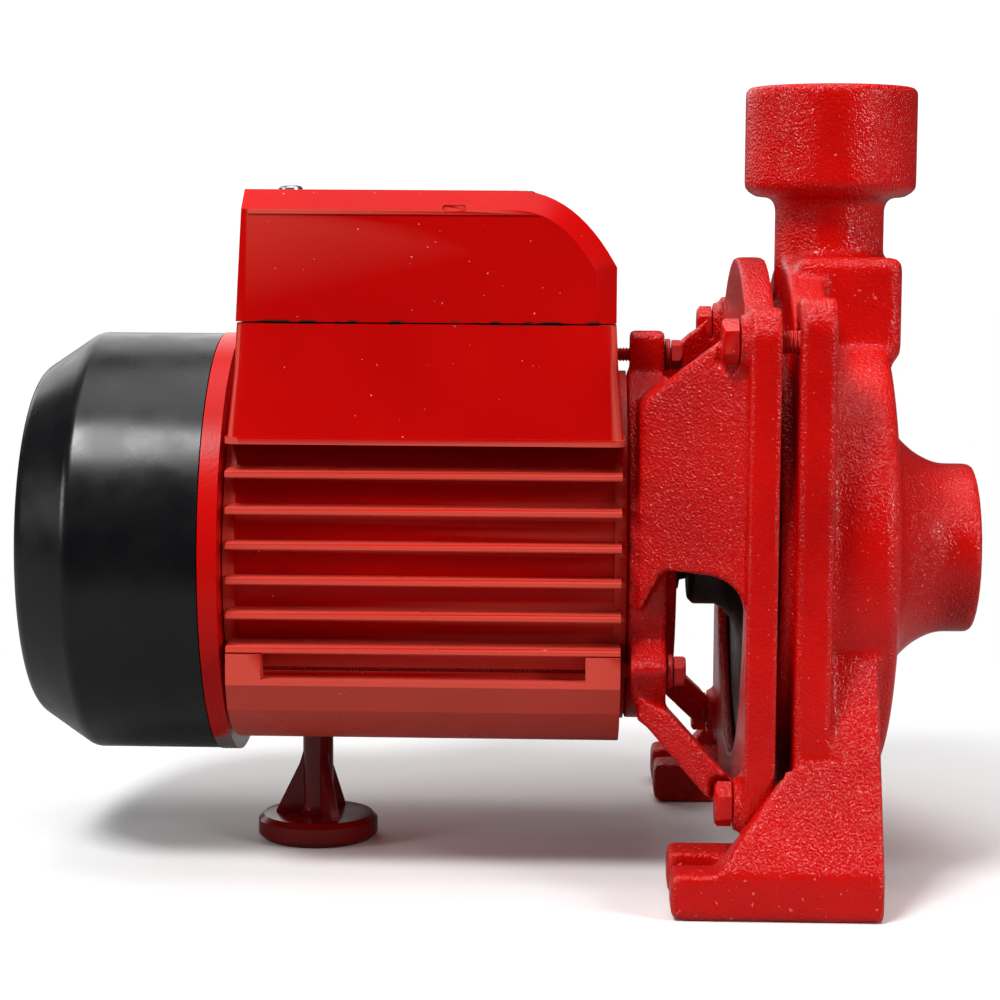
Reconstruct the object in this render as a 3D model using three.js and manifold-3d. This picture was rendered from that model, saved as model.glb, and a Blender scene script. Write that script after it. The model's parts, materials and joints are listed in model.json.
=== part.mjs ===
// A close-coupled centrifugal water pump: a finned electric motor, an open lantern
// bracket and a cast volute casing with a horizontal suction port and an upright
// discharge port.
//
// Units are millimetres. The pieces are drawn on the shaft axis, with x towards the
// suction port and z up. The last lines lift the whole pump onto its feet, so that the
// part's origin is the middle of its footprint.
import * as THREE from "three";
import { mergeVertices } from "three/addons/utils/BufferGeometryUtils.js";
import Module from "manifold-3d";

const wasm = await Module();
wasm.setup();

// ---------------------------------------------------------------- driving sizes

const SHAFT_HEIGHT = 82;
const GAP = 0.3;

// How many flats a round face gets: a full circle drawn by an arc has twice its number.
const WIDE_TURN = 32;
const SMALL_TURN = 16;
const WIDE_ARC = WIDE_TURN / 2;
const SMALL_ARC = 5;

const FAN_COVER = {
  rimX: -94.3,
  creaseX: -127.8,
  coneX: -141.6,
  endX: -143,
  radius: 56.5,
  coneRadius: 47.2,
  endRadius: 45,
  wall: 2.2,
  slots: 18,
  slotWidth: 4.2,
  slotInner: 15,
  slotOuter: 41,
};

const END_SHIELD = {
  backX: -94,
  faceX: -89.2,
  radius: 56.7,
  spigotX: -84.5,
  spigotWall: 3.2,
  hubX: -78.6,
  hubRadius: 20.5,
};

const HOUSING = {
  backX: -88.9,
  frontX: 14.1,
  finBackX: -87.4,
  finFrontX: 12.6,
  bore: 44,
  coreRadius: 46.8,
  registerRadius: 47.2,
  registerX: 11,
  halfWidth: 53,
  finLevels: [22.9, 13.6, 4.7, -4.2, -13, -21.7],
  finThickness: 1.9,
  trough: [
    [-49.8, -37.6],
    [-42, -43.4],
    [-31, -47.8],
    [-24, -49.5],
  ],
  bottomZ: -49.5,
};

const RAIL = { topZ: -22.65, bottomZ: -30.6, padLength: 8.8, recess: 7.4, halfWidth: 53.4 };

const PEDESTAL = {
  bottomZ: 32,
  topZ: 60.9,
  lipHeight: 1.3,
  backX: -85,
  frontX: 10.8,
  halfWidth: 50,
  flare: 2.2,
  corner: 4,
  wall: 3.5,
  floorZ: 56,
  pocketFloorZ: 48.6,
  ribHalfWidth: 8,
};

const BOX_COVER = {
  seamZ: 61.3,
  sideTopZ: 89.4,
  sideFrontX: 5.8,
  arcStartX: -14.6,
  arcEndZ: 74,
  bevel: 5,
  wall: 3,
};

const BOX_SCREWS = [
  { x: -74.3, y: -20 },
  { x: -14, y: 30 },
];
const BOX_SCREW = { headRadius: 3.2, headHeight: 1.3, shankRadius: 1.9, postRadius: 4.6 };

const BEARING = { bore: 6.2, innerRadius: 9.2, outerRadius: 15.8, pocket: 16, width: 10 };
const REAR_BEARING_X = -88.7;
const FRONT_BEARING_X = 15;

const STATOR = { backX: -60, frontX: -6, outer: 43.7, inner: 25.5, slots: 18, slotDepth: 10 };
const WINDING = { reach: 14, inner: 28, outer: 40 };

const BRACKET = {
  backX: 14.4,
  rearFaceX: 24.4,
  frontX: 43,
  padX: 40.7,
  spotX: 35.5,
  faceX: 50.6,
  rearRadius: 47,
  spigotX: 10.4,
  spigotWall: 3.4,
  hubRadius: 21,
  bossRadius: 38,
  bossX: 27.2,
  webX: 21.4,
  seatX: 46,
  seatRadius: 62,
  openingRadius: 56,
  armBackX: 17,
  armInset: 48.4,
  armOutset: 64.5,
  armThickness: 6,
  lugTop: 66,
  shaftHole: 9,
  wallSide: [
    [17, 41.6],
    [17, -12],
    [23.4, -0.2],
    [37, -1],
    [41.5, -4],
    [44, -12],
    [44, 64],
  ],
  strutSide: [
    [17, -33.4],
    [24.4, -36],
    [41, -52.5],
    [44, -57],
    [44, -64.5],
    [36, -58.6],
    [19, -40.4],
    [17, -39.8],
  ],
};

const FLANGE = { radius: 78, halfWidth: 70.2, bottomZ: -70, bolt: { y: 61.7, z: 57.6 }, lugInner: 53 };

const TIE = { radius: 51.6, angles: [90, 212, 328], hole: 2.3, earTop: 58, earWidth: 13 };
const TIE_WASHER = { backX: 24.7, frontX: 26.1, radius: 4.3 };
const TIE_BOLT = { backX: -92, headX: 26.4, headHeight: 3, flats: 7, radius: 1.9 };

const CASING_BOLT = { headX: 36.2, headHeight: 4.2, flats: 10, radius: 3, hole: 3.4, endX: 61, tap: 3.2 };

const SEAL_PLATE = {
  backX: 46.3,
  frontX: 54.7,
  radius: 61.7,
  webX: 50,
  hubX: 31.4,
  hubRadius: 16,
  flareX: 39,
};
const SEAT = { backX: 45, frontX: 51.5, outer: 12.6, inner: 7.6, pocket: 12.9, shaftHole: 8.5 };
const SEAL_HEAD = { frontX: 54.7, inner: 6.3, outer: 11.4 };
const SEAL_SPRING = { backX: 55.4, pitch: 0.85, turns: 3, radius: 9, wire: 0.45 };
const O_RING = { x: 56.2, middle: 59.1, radius: 1.1, sides: 6 };
const SLINGER = { backX: 27.6, frontX: 31, inner: 6.3, outer: 12 };

const CASING = {
  backX: 55,
  flangeX: 64.2,
  ringX: 51.4,
  ringInner: 62,
  ringOuter: 66.5,
  bodyRadius: 62,
  cornerX: 78.5,
  lugTop: 68.6,
  nose: [
    [80.6, 61],
    [81.8, 58.5],
    [83.2, 48],
    [85, 36],
    [87, 31],
    [89.2, 28.4],
    [92.6, 25.6],
    [97, 23.4],
    [100, 22.8],
  ],
  chamberRadius: 56,
  chamberX: 76.8,
  shoulderX: 57.6,
};

const SUCTION = { faceX: 108, radius: 22.8, chamfer: 1, bore: 15.3 };

const DISCHARGE = {
  x: 68.2,
  radius: 22.8,
  faceZ: 123,
  undersideZ: 95,
  chamfer: 1,
  neckRadius: 14.5,
  neckFlareZ: 91.5,
  portDepth: 19,
  bore: 15.3,
  passage: 10.2,
};

const BLOCK = { backX: 57.8, frontX: 84.8, halfWidth: 28, bottomZ: 50.5, topZ: 78.2, corner: 3.2 };

const FOOT = {
  outer: 82.5,
  inner: 47,
  endX: 24.8,
  frontX: 76.6,
  topZ: -70.8,
  gussetInner: 71.3,
  gussetTopZ: -43.8,
  gussetToeX: 36,
  slotDepth: 16,
  slotWidth: 11,
  corner: 2.4,
  shoulder: { y: -57.8, z: -17 },
};

const PRIMING_PLUG = { z: 66, frontX: 84.8, bore: 8.2, radius: 7.9, length: 9, key: 7 };
const DRAIN_PLUG = { z: -46, frontX: 83.3, bore: 5.2, radius: 4.9, length: 3.6, key: 4 };

const SHAFT = {
  steps: [
    [-127, 5.4],
    [-93, 5.4],
    [-93, 6],
    [-77.5, 6],
    [-77.5, 7],
    [13.5, 7],
    [13.5, 6],
    [57, 6],
    [57, 5.4],
    [69.8, 5.4],
    [69.8, 4],
    [78.5, 4],
  ],
};
const KEY = { backX: 59.7, frontX: 67.2, halfWidth: 0.9, bottomZ: 4.5, topZ: 6.9 };
const ROTOR_CORE = { bore: 7.3, radius: 25, endRingInner: 16, endRingReach: 5 };

const IMPELLER = {
  backX: 58.6,
  shroudX: 61,
  frontX: 69.6,
  eyeX: 75.8,
  radius: 49,
  hubRadius: 10.5,
  bore: 5.7,
  eyeInner: 14.8,
  eyeOuter: 17.2,
  vanes: 6,
  vaneThickness: 2.4,
  vaneSweep: 1.35,
};

const FAN = { backX: -124, frontX: -104, hubRadius: 10, bore: 5.7, radius: 47, blades: 9, blade: 2 };

const SUPPORT = {
  x: -69.3,
  columnRadius: 4.15,
  discRadius: 16.4,
  rimTopZ: -76.6,
  topZ: -75.2,
  flatRadius: 13,
  soleRadius: 15.6,
  gussetTopZ: -58,
  gussetReach: 11.5,
  gussetThickness: 2.6,
  gussetTurns: [180, 300, 60],
};

const TERMINALS = { backX: -58, frontX: -22, halfWidth: 10, base: 4, height: 10, barriers: 5, barrier: 2 };
const CAPACITOR = { backX: -68, frontX: -30, y: 26, radius: 14, tabLength: 5.5 };

const GLAND = { x: -34, z: 46.5, bodyRadius: 9.2, hexFlats: 22, length: 15, bore: 4.6 };

// ---------------------------------------------------------------- materials

function finish(color, roughness, metalness) {
  return new THREE.MeshStandardMaterial({ color, roughness, metalness });
}

const castRed = () => finish(0xd5130b, 0.35, 0.1);
const smoothRed = () => finish(0xc01008, 0.4, 0.1);
const castIron = () => finish(0x2c2d30, 0.5, 0.6);
const plasticRed = () => finish(0x8f0c0c, 0.3, 0);
const blackPlastic = () => finish(0x16171a, 0.35, 0);
const aluminium = () => finish(0xb9babd, 0.45, 0.9);
const steel = () => finish(0x8f9296, 0.35, 1);
const laminations = () => finish(0x55585c, 0.5, 0.9);
const copper = () => finish(0xb0602e, 0.4, 0.9);
const brass = () => finish(0xc8a04a, 0.35, 1);
const rubber = () => finish(0x1b1b1b, 0.8, 0);
const ceramic = () => finish(0xe8e4da, 0.3, 0);

// ---------------------------------------------------------------- shape helpers

// A three.js geometry as a manifold solid, with its shared corners welded.
function solidOf(geometry) {
  const bare = new THREE.BufferGeometry();
  bare.setAttribute("position", geometry.getAttribute("position"));
  bare.setIndex(geometry.index);
  const welded = mergeVertices(bare, 1e-3);
  const corners = welded.index.array;
  const kept = [];
  for (let i = 0; i < corners.length; i += 3) {
    const [a, b, c] = corners.slice(i, i + 3);
    if (a !== b && b !== c && c !== a) kept.push(a, b, c);
  }
  const vertProperties = new Float32Array(welded.attributes.position.array);
  const triVerts = new Uint32Array(kept);
  return new wasm.Manifold(new wasm.Mesh({ numProp: 3, vertProperties, triVerts }));
}

const join = (first, ...rest) => rest.reduce((sum, next) => sum.add(next), first);
const cut = (body, ...tools) => tools.reduce((left, tool) => left.subtract(tool), body);
const common = (first, ...rest) => rest.reduce((left, next) => left.intersect(next), first);

// A flat outline through the given corner points.
function outline(points) {
  return new THREE.Shape(points.map(([u, v]) => new THREE.Vector2(u, v)));
}

// The same outline with each corner eased by a radius.
function eased(points, radius) {
  const corners = points.map(([u, v]) => new THREE.Vector2(u, v));
  const shape = new THREE.Shape();
  corners.forEach((corner, i) => {
    const before = corners[(i + corners.length - 1) % corners.length];
    const after = corners[(i + 1) % corners.length];
    const reach = Math.min(radius, corner.distanceTo(before) / 2, corner.distanceTo(after) / 2);
    const start = corner.clone().lerp(before, reach / corner.distanceTo(before));
    const end = corner.clone().lerp(after, reach / corner.distanceTo(after));
    if (i === 0) shape.moveTo(start.x, start.y);
    else shape.lineTo(start.x, start.y);
    shape.quadraticCurveTo(corner.x, corner.y, end.x, end.y);
  });
  shape.closePath();
  return shape;
}

function circle(u, v, radius) {
  return new THREE.Shape().absarc(u, v, radius, 0, Math.PI * 2, false);
}

function extruded(shape, depth, curveSegments) {
  return new THREE.ExtrudeGeometry(shape, { depth, bevelEnabled: false, curveSegments });
}

// An outline drawn in (y, z) and pulled from x0 to x1.
function alongX(shape, x0, x1, curveSegments = SMALL_ARC) {
  const turn = new THREE.Matrix4().makeBasis(
    new THREE.Vector3(0, 1, 0),
    new THREE.Vector3(0, 0, 1),
    new THREE.Vector3(1, 0, 0),
  );
  return solidOf(extruded(shape, x1 - x0, curveSegments).applyMatrix4(turn).translate(x0, 0, 0));
}

// An outline drawn in (x, z) and pulled from y0 to y1.
function alongY(shape, y0, y1, curveSegments = SMALL_ARC) {
  return solidOf(extruded(shape, y1 - y0, curveSegments).rotateX(Math.PI / 2).translate(0, y1, 0));
}

// An outline drawn in (x, y) and pulled from z0 to z1.
function alongZ(shape, z0, z1, curveSegments = SMALL_ARC) {
  return solidOf(extruded(shape, z1 - z0, curveSegments).translate(0, 0, z0));
}

// A profile of (x, radius) points turned about the shaft axis.
function turned(profile, segments = SMALL_TURN) {
  const points = profile.map(([x, radius]) => new THREE.Vector2(radius, x));
  return solidOf(new THREE.LatheGeometry(points, segments).rotateZ(-Math.PI / 2));
}

// A profile of (z, radius) points turned about an upright axis at x.
function turnedUp(profile, x, segments = SMALL_TURN) {
  const points = profile.map(([z, radius]) => new THREE.Vector2(radius, z));
  return solidOf(new THREE.LatheGeometry(points, segments).rotateX(Math.PI / 2).translate(x, 0, 0));
}

// A hollow turned ring: the profile is closed on itself.
function ring(x0, x1, inner, outer, segments = SMALL_TURN) {
  const profile = [[x0, inner], [x0, outer], [x1, outer], [x1, inner], [x0, inner]];
  return turned(profile, segments);
}

function rodX(x0, x1, y, z, radius, curveSegments = SMALL_ARC) {
  return alongX(circle(y, z, radius), x0, x1, curveSegments);
}

function box(x0, x1, y0, y1, z0, z1) {
  const block = new THREE.BoxGeometry(x1 - x0, y1 - y0, z1 - z0);
  return solidOf(block.translate((x0 + x1) / 2, (y0 + y1) / 2, (z0 + z1) / 2));
}

function hexagon(u, v, flats, turn = 0) {
  const radius = flats / Math.sqrt(3);
  const corner = (i) => {
    const angle = turn + (i * Math.PI) / 3;
    return [u + radius * Math.cos(angle), v + radius * Math.sin(angle)];
  };
  return outline([0, 1, 2, 3, 4, 5].map(corner));
}

// A solid and its mirror image across the pump's upright middle plane.
const bothSides = (solid) => join(solid, solid.mirror([0, 1, 0]));

const piece = (name, solid, material) => {
  const made = solid.asOriginal().simplify(0.03).getMesh();
  const geometry = new THREE.BufferGeometry();
  geometry.setAttribute("position", new THREE.BufferAttribute(new Float32Array(made.vertProperties), 3));
  geometry.setIndex(new THREE.BufferAttribute(new Uint32Array(made.triVerts), 1));
  const faceted = geometry.toNonIndexed();
  faceted.computeVertexNormals();
  const mesh = new THREE.Mesh(faceted, material);
  mesh.name = name;
  return mesh;
};

// The three tie-bolt centres as (y, z) pairs.
const tiePoints = TIE.angles.map((degrees) => {
  const angle = THREE.MathUtils.degToRad(degrees);
  return [TIE.radius * Math.cos(angle), TIE.radius * Math.sin(angle)];
});

const boltPoints = [
  [-FLANGE.bolt.y, FLANGE.bolt.z],
  [-FLANGE.bolt.y, -FLANGE.bolt.z],
  [FLANGE.bolt.y, FLANGE.bolt.z],
  [FLANGE.bolt.y, -FLANGE.bolt.z],
];

// ---------------------------------------------------------------- motor shell

function fanCover() {
  const c = FAN_COVER;
  const shell = turned(
    [
      [c.endX, 0],
      [c.endX, c.endRadius],
      [c.coneX, c.coneRadius],
      [c.creaseX, c.radius],
      [c.rimX, c.radius],
      [c.rimX, c.radius - c.wall],
      [c.creaseX + 1, c.radius - c.wall],
      [c.coneX + 1.4, c.coneRadius - c.wall],
      [c.endX + c.wall, c.endRadius - c.wall],
      [c.endX + c.wall, 0],
    ],
    WIDE_TURN,
  );
  const half = c.slotWidth / 2;
  const strip = [
    [c.slotInner, -half * 0.6],
    [c.slotOuter, -half],
    [c.slotOuter, half],
    [c.slotInner, half * 0.6],
  ];
  const slot = alongX(outline(strip), c.endX - 2, c.endX + 4);
  const slots = Array.from({ length: c.slots }, (_, i) => slot.rotate([(i * 360) / c.slots, 0, 0]));
  return cut(shell, ...slots);
}

function rearEndShield() {
  const s = END_SHIELD;
  const spigot = HOUSING.bore - GAP;
  const floorX = REAR_BEARING_X - GAP;
  const body = turned(
    [
      [s.backX, 8],
      [s.backX, s.radius],
      [s.faceX, s.radius],
      [s.faceX, spigot],
      [s.spigotX, spigot],
      [s.spigotX, spigot - s.spigotWall],
      [s.faceX, spigot - s.spigotWall],
      [s.faceX, s.hubRadius],
      [s.hubX, s.hubRadius],
      [s.hubX, BEARING.pocket],
      [floorX, BEARING.pocket],
      [floorX, 8],
      [s.backX, 8],
    ],
    WIDE_TURN,
  );
  const taps = tiePoints.map(([y, z]) => rodX(TIE_BOLT.backX - GAP, s.faceX + 1, y, z, TIE.hole, 4));
  return cut(body, ...taps);
}

// The lower half of the housing: a chamfered trough under the core.
function housingTrough() {
  const h = HOUSING;
  const half = [
    [-RAIL.halfWidth, RAIL.topZ],
    [-RAIL.halfWidth, RAIL.bottomZ],
    ...h.trough,
  ];
  const mirrored = half.map(([y, z]) => [-y, z]).reverse();
  return alongX(outline([...half, ...mirrored]), h.finBackX, h.finFrontX);
}

// The deep recess that leaves a square pad at each end of the rail.
function railRecess() {
  const h = HOUSING;
  const x0 = h.finBackX + RAIL.padLength;
  const x1 = h.finFrontX - RAIL.padLength;
  return bothSides(
    box(x0, x1, -RAIL.halfWidth - 1, RAIL.recess - RAIL.halfWidth, RAIL.bottomZ + 1.4, RAIL.topZ),
  );
}

function coolingFins() {
  const h = HOUSING;
  const fins = h.finLevels.map((z) =>
    box(h.finBackX, h.finFrontX, -h.halfWidth, h.halfWidth, z - h.finThickness / 2, z + h.finThickness / 2),
  );
  return join(...fins);
}

// The flared seat of the terminal box, cast on top of the housing.
function pedestal() {
  const p = PEDESTAL;
  const corners = [
    [p.backX, -p.halfWidth],
    [p.frontX, -p.halfWidth],
    [p.frontX, p.halfWidth],
    [p.backX, p.halfWidth],
  ];
  const block = extruded(eased(corners, p.corner), p.topZ - p.bottomZ, 4);
  const centreX = (p.backX + p.frontX) / 2;
  const spreadX = 1 + p.flare / (p.frontX - centreX);
  const spreadY = 1 + (p.flare + 1) / p.halfWidth;
  const position = block.getAttribute("position");
  for (let i = 0; i < position.count; i += 1) {
    if (position.getZ(i) > 1) continue;
    position.setX(i, centreX + (position.getX(i) - centreX) * spreadX);
    position.setY(i, position.getY(i) * spreadY);
  }
  const lipHalf = (p.frontX - centreX) * spreadX;
  const lipX = [centreX - lipHalf - 0.5, centreX + lipHalf + 0.3];
  const lipY = p.halfWidth * spreadY + 0.5;
  const lip = box(lipX[0], lipX[1], -lipY, lipY, p.bottomZ - p.lipHeight, p.bottomZ + 0.4);
  return join(solidOf(block.translate(0, 0, p.bottomZ)), lip);
}

// Room for the wiring inside the pedestal: a tray with a pocket on each side of a rib.
function pedestalRoom() {
  const p = PEDESTAL;
  const x0 = p.backX + p.wall;
  const x1 = p.frontX - p.wall;
  const y1 = p.halfWidth - p.wall;
  const tray = box(x0, x1, -y1, y1, p.floorZ, p.topZ + 1);
  const pocket = bothSides(box(x0 + 2, x1 - 2, p.ribHalfWidth, y1 - 2, p.pocketFloorZ, p.topZ));
  const wireWay = alongZ(circle(x0 + 12, 30, 4), 20, p.topZ);
  return join(tray, pocket, wireWay);
}

function boxScrewPosts() {
  const s = BOX_SCREW;
  const posts = BOX_SCREWS.map(({ x, y }) =>
    alongZ(circle(x, y, s.postRadius), PEDESTAL.pocketFloorZ - 1, PEDESTAL.topZ),
  );
  return join(...posts);
}

function boxScrewHoles(z0, z1) {
  const holes = BOX_SCREWS.map(({ x, y }) => alongZ(circle(x, y, BOX_SCREW.shankRadius + GAP), z0, z1, 5));
  return join(...holes);
}

function motorHousing() {
  const h = HOUSING;
  const disc = (x0, x1, radius) => turned([[x0, 0], [x0, radius], [x1, radius], [x1, 0]], WIDE_TURN);
  const core = disc(h.backX, h.frontX, h.coreRadius);
  const registers = join(
    disc(h.registerX, h.frontX, h.registerRadius),
    disc(h.backX, h.backX + 3, h.registerRadius),
  );
  const bore = disc(h.backX - 1, h.frontX + 1, h.bore);
  const tieHoles = tiePoints.map(([y, z]) => rodX(h.backX - 1, h.frontX + 1, y, z, TIE.hole, 4));
  const bossZ = h.bottomZ - SUPPORT.columnRadius;
  const socket = alongZ(circle(SUPPORT.x, 0, SUPPORT.columnRadius - 1), bossZ, h.bottomZ + 5);
  const shell = cut(join(core, registers, coolingFins(), housingTrough()), railRecess());
  const seat = join(cut(pedestal(), pedestalRoom()), boxScrewPosts());
  const cast = join(cut(shell, pedestalRoom()), seat);
  return cut(cast, bore, socket, boxScrewHoles(PEDESTAL.pocketFloorZ, PEDESTAL.topZ + 1), ...tieHoles);
}

// The side outline of the terminal box lid, with the rounded front shoulder.
function lidOutline(inset) {
  const c = BOX_COVER;
  const shape = new THREE.Shape();
  const back = PEDESTAL.backX - c.bevel;
  shape.moveTo(back + inset, c.seamZ - 2 * c.bevel);
  shape.lineTo(c.sideFrontX - inset, c.seamZ - 2 * c.bevel);
  shape.lineTo(c.sideFrontX - inset, c.arcEndZ);
  shape.quadraticCurveTo(-3 - inset, c.sideTopZ - inset, c.arcStartX - inset, c.sideTopZ - inset);
  shape.lineTo(back + inset, c.sideTopZ - inset);
  shape.closePath();
  return shape;
}

function lidBlock(inset, reach) {
  const c = BOX_COVER;
  const depth = 2 * (reach - c.bevel);
  const geometry = new THREE.ExtrudeGeometry(lidOutline(inset), {
    depth,
    curveSegments: 6,
    bevelEnabled: true,
    bevelThickness: c.bevel,
    bevelSize: c.bevel,
    bevelSegments: 1,
  });
  return solidOf(geometry.rotateX(Math.PI / 2).translate(0, depth / 2, 0));
}

function terminalBoxCover() {
  const c = BOX_COVER;
  const p = PEDESTAL;
  const limits = [p.backX, p.frontX + 1, -p.halfWidth, p.halfWidth, c.seamZ, c.sideTopZ + c.bevel];
  const leaned = outline([
    [p.backX, c.seamZ - 1],
    [p.frontX + 0.4, c.seamZ - 1],
    [p.frontX + 0.2, 200],
    [p.backX + 8, 200],
  ]);
  const solid = common(lidBlock(0, p.halfWidth), box(...limits), alongY(leaned, -90, 90));
  const inside = box(p.backX + c.wall, p.frontX - c.wall, -p.halfWidth, p.halfWidth, 0, c.sideTopZ + c.bevel);
  const room = common(lidBlock(c.wall, p.halfWidth - c.wall), inside);
  return cut(solid, room, boxScrewHoles(c.seamZ, c.sideTopZ + 2 * c.bevel));
}

function boxScrew({ x, y }) {
  const s = BOX_SCREW;
  const topZ = BOX_COVER.sideTopZ + BOX_COVER.bevel + GAP;
  const profile = [
    [PEDESTAL.pocketFloorZ + 2, 0],
    [PEDESTAL.pocketFloorZ + 2, s.shankRadius],
    [topZ, s.shankRadius],
    [topZ, s.headRadius],
    [topZ + s.headHeight * 0.6, s.headRadius - 0.3],
    [topZ + s.headHeight, s.headRadius - 1.3],
    [topZ + s.headHeight, 0],
  ];
  const screw = turnedUp(profile, x, 16).translate([0, y, 0]);
  const slot = box(x - 5, x + 5, y - 0.4, y + 0.4, topZ + s.headHeight - 0.7, topZ + 5);
  return cut(screw, slot);
}

function cableGland() {
  const g = GLAND;
  const face = PEDESTAL.halfWidth + PEDESTAL.flare + 1.2;
  const upright = (r, y0, y1, shape = circle(g.x, g.z, r)) => alongY(shape, y0, y1, 10);
  const hex = (y0, y1) => alongY(hexagon(g.x, g.z, g.hexFlats), y0, y1);
  return cut(
    join(
      hex(face, face + 4),
      upright(g.bodyRadius, face + 3, face + 8),
      hex(face + 7, face + g.length - 2),
      upright(g.bodyRadius - 1, face + g.length - 3, face + g.length),
    ),
    upright(g.bore, face + 5, face + g.length + 1),
  );
}

function terminalBlock() {
  const t = TERMINALS;
  const z0 = PEDESTAL.floorZ + GAP;
  const base = box(t.backX, t.frontX, -t.halfWidth, t.halfWidth, z0, z0 + t.base);
  const spacing = (t.frontX - t.backX - t.barrier - 2) / (t.barriers - 1);
  const barriers = Array.from({ length: t.barriers }, (_, i) => {
    const x = t.backX + 1 + i * spacing;
    return box(x, x + t.barrier, -t.halfWidth, t.halfWidth, z0, z0 + t.height);
  });
  return join(base, ...barriers);
}

function capacitor() {
  const c = CAPACITOR;
  const z = PEDESTAL.pocketFloorZ + c.radius + GAP;
  const can = rodX(c.backX, c.frontX, c.y, z, c.radius, 8);
  const tab = box(c.frontX - 0.5, c.frontX + c.tabLength, 2, 5, z - 3, z + 3);
  return join(can, bothSides(tab).translate([0, c.y, 0]));
}

// ---------------------------------------------------------------- stator and rotor

function statorCore() {
  const s = STATOR;
  const step = (Math.PI * 2) / s.slots;
  const hole = [];
  for (let i = 0; i < s.slots; i += 1) {
    const at = (radius, share) => {
      const angle = (i + share) * step;
      return [radius * Math.cos(angle), radius * Math.sin(angle)];
    };
    hole.push(at(s.inner, 0), at(s.inner, 0.42));
    hole.push(at(s.inner + s.slotDepth, 0.34), at(s.inner + s.slotDepth, 0.76));
    hole.push(at(s.inner, 0.6));
  }
  const shape = circle(0, 0, s.outer);
  shape.holes.push(outline(hole));
  return alongX(shape, s.backX, s.frontX, WIDE_ARC);
}

function winding(rootX, direction) {
  const w = WINDING;
  const x0 = rootX + direction * GAP;
  const x1 = x0 + direction * w.reach;
  const [back, front] = direction > 0 ? [x0, x1] : [x1, x0];
  const ease = 3;
  return turned([
    [back, w.inner + ease],
    [back, w.outer - ease],
    [back + ease, w.outer],
    [front - ease, w.outer],
    [front, w.outer - ease],
    [front, w.inner + ease],
    [front - ease, w.inner],
    [back + ease, w.inner],
    [back, w.inner + ease],
  ]);
}

function rotorCore() {
  const r = ROTOR_CORE;
  const x0 = STATOR.backX - r.endRingReach;
  const x1 = STATOR.frontX + r.endRingReach;
  return turned([
    [STATOR.backX, r.bore],
    [STATOR.backX, r.endRingInner],
    [x0, r.endRingInner],
    [x0, r.radius - 1],
    [STATOR.backX, r.radius],
    [STATOR.frontX, r.radius],
    [x1, r.radius - 1],
    [x1, r.endRingInner],
    [STATOR.frontX, r.endRingInner],
    [STATOR.frontX, r.bore],
    [STATOR.backX, r.bore],
  ]);
}

function shaft() {
  const steps = SHAFT.steps;
  const profile = [[steps[0][0], 0], ...steps, [steps.at(-1)[0], 0]];
  const side = KEY.halfWidth + 0.2;
  const keyway = box(KEY.backX - GAP, KEY.frontX + GAP, -side, side, KEY.bottomZ - GAP, KEY.topZ + 1);
  return cut(turned(profile, 16), keyway);
}

// The outer race with its two seal lips.
function bearingOuter(x) {
  const b = BEARING;
  const lip = b.innerRadius + GAP;
  const end = x + b.width;
  const race = b.outerRadius - 3.2;
  return turned([
    [x, lip],
    [x, b.outerRadius],
    [end, b.outerRadius],
    [end, lip],
    [end - 1, lip],
    [end - 1, race],
    [x + 1, race],
    [x + 1, lip],
    [x, lip],
  ]);
}

const bearingInner = (x) => ring(x, x + BEARING.width, BEARING.bore, BEARING.innerRadius);

function coolingFan() {
  const f = FAN;
  const hub = ring(f.backX, f.frontX, f.bore, f.hubRadius);
  const plate = ring(f.frontX - 2, f.frontX, f.bore, f.radius, WIDE_TURN);
  const blade = box(f.backX + 2, f.frontX - 1, -f.blade / 2, f.blade / 2, f.hubRadius - 1, f.radius);
  const blades = Array.from({ length: f.blades }, (_, i) => blade.rotate([(i * 360) / f.blades, 0, 0]));
  return join(hub, plate, ...blades);
}

// ---------------------------------------------------------------- lantern bracket

// The outline the two bolted flanges share: an arched plate with four square bolt lugs.
function flangePlate(x0, x1, lugTop) {
  const f = FLANGE;
  const arch = common(
    rodX(x0, x1, 0, 0, f.radius, WIDE_ARC),
    box(x0 - 1, x1 + 1, -f.halfWidth, f.halfWidth, f.bottomZ, f.radius),
  );
  const waist = box(x0, x1, -f.halfWidth, f.halfWidth, -f.bolt.z, f.bolt.z);
  const lugSide = [
    [-f.halfWidth, 0],
    [-f.halfWidth, lugTop - 6],
    [4 - f.halfWidth, lugTop],
    [-f.lugInner, lugTop],
    [-f.lugInner, 0],
  ];
  const lugs = bothSides(alongX(eased(lugSide, 2.5), x0, x1, 3));
  return join(arch, waist, lugs, lugs.mirror([0, 0, 1]));
}

// One arm side in plan: a leaning wall with a shoulder that meets the rear flange.
function armPlan() {
  const b = BRACKET;
  const outer = b.armOutset;
  return outline([
    [b.armBackX, 24],
    [b.rearFaceX, 24],
    [b.rearFaceX, b.armInset - b.armThickness],
    [b.frontX + 1, outer - b.armThickness],
    [b.frontX + 1, outer],
    [b.armBackX, b.armInset],
  ]);
}

// The arms as seen from the side: a broad upper wall and a slim lower strut.
function armSide() {
  const reach = 90;
  const wall = alongY(eased(BRACKET.wallSide, 2.4), -reach, reach, 4);
  const strut = alongY(eased(BRACKET.strutSide, 1.5), -reach, reach, 4);
  return join(wall, strut);
}

function tieEars(x0, x1) {
  const half = TIE.earWidth / 2;
  const ear = alongX(eased([[-half, 40], [half, 40], [half, TIE.earTop], [-half, TIE.earTop]], 3), x0, x1, 4);
  return join(...TIE.angles.map((degrees) => ear.rotate([degrees - 90, 0, 0])));
}

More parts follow.
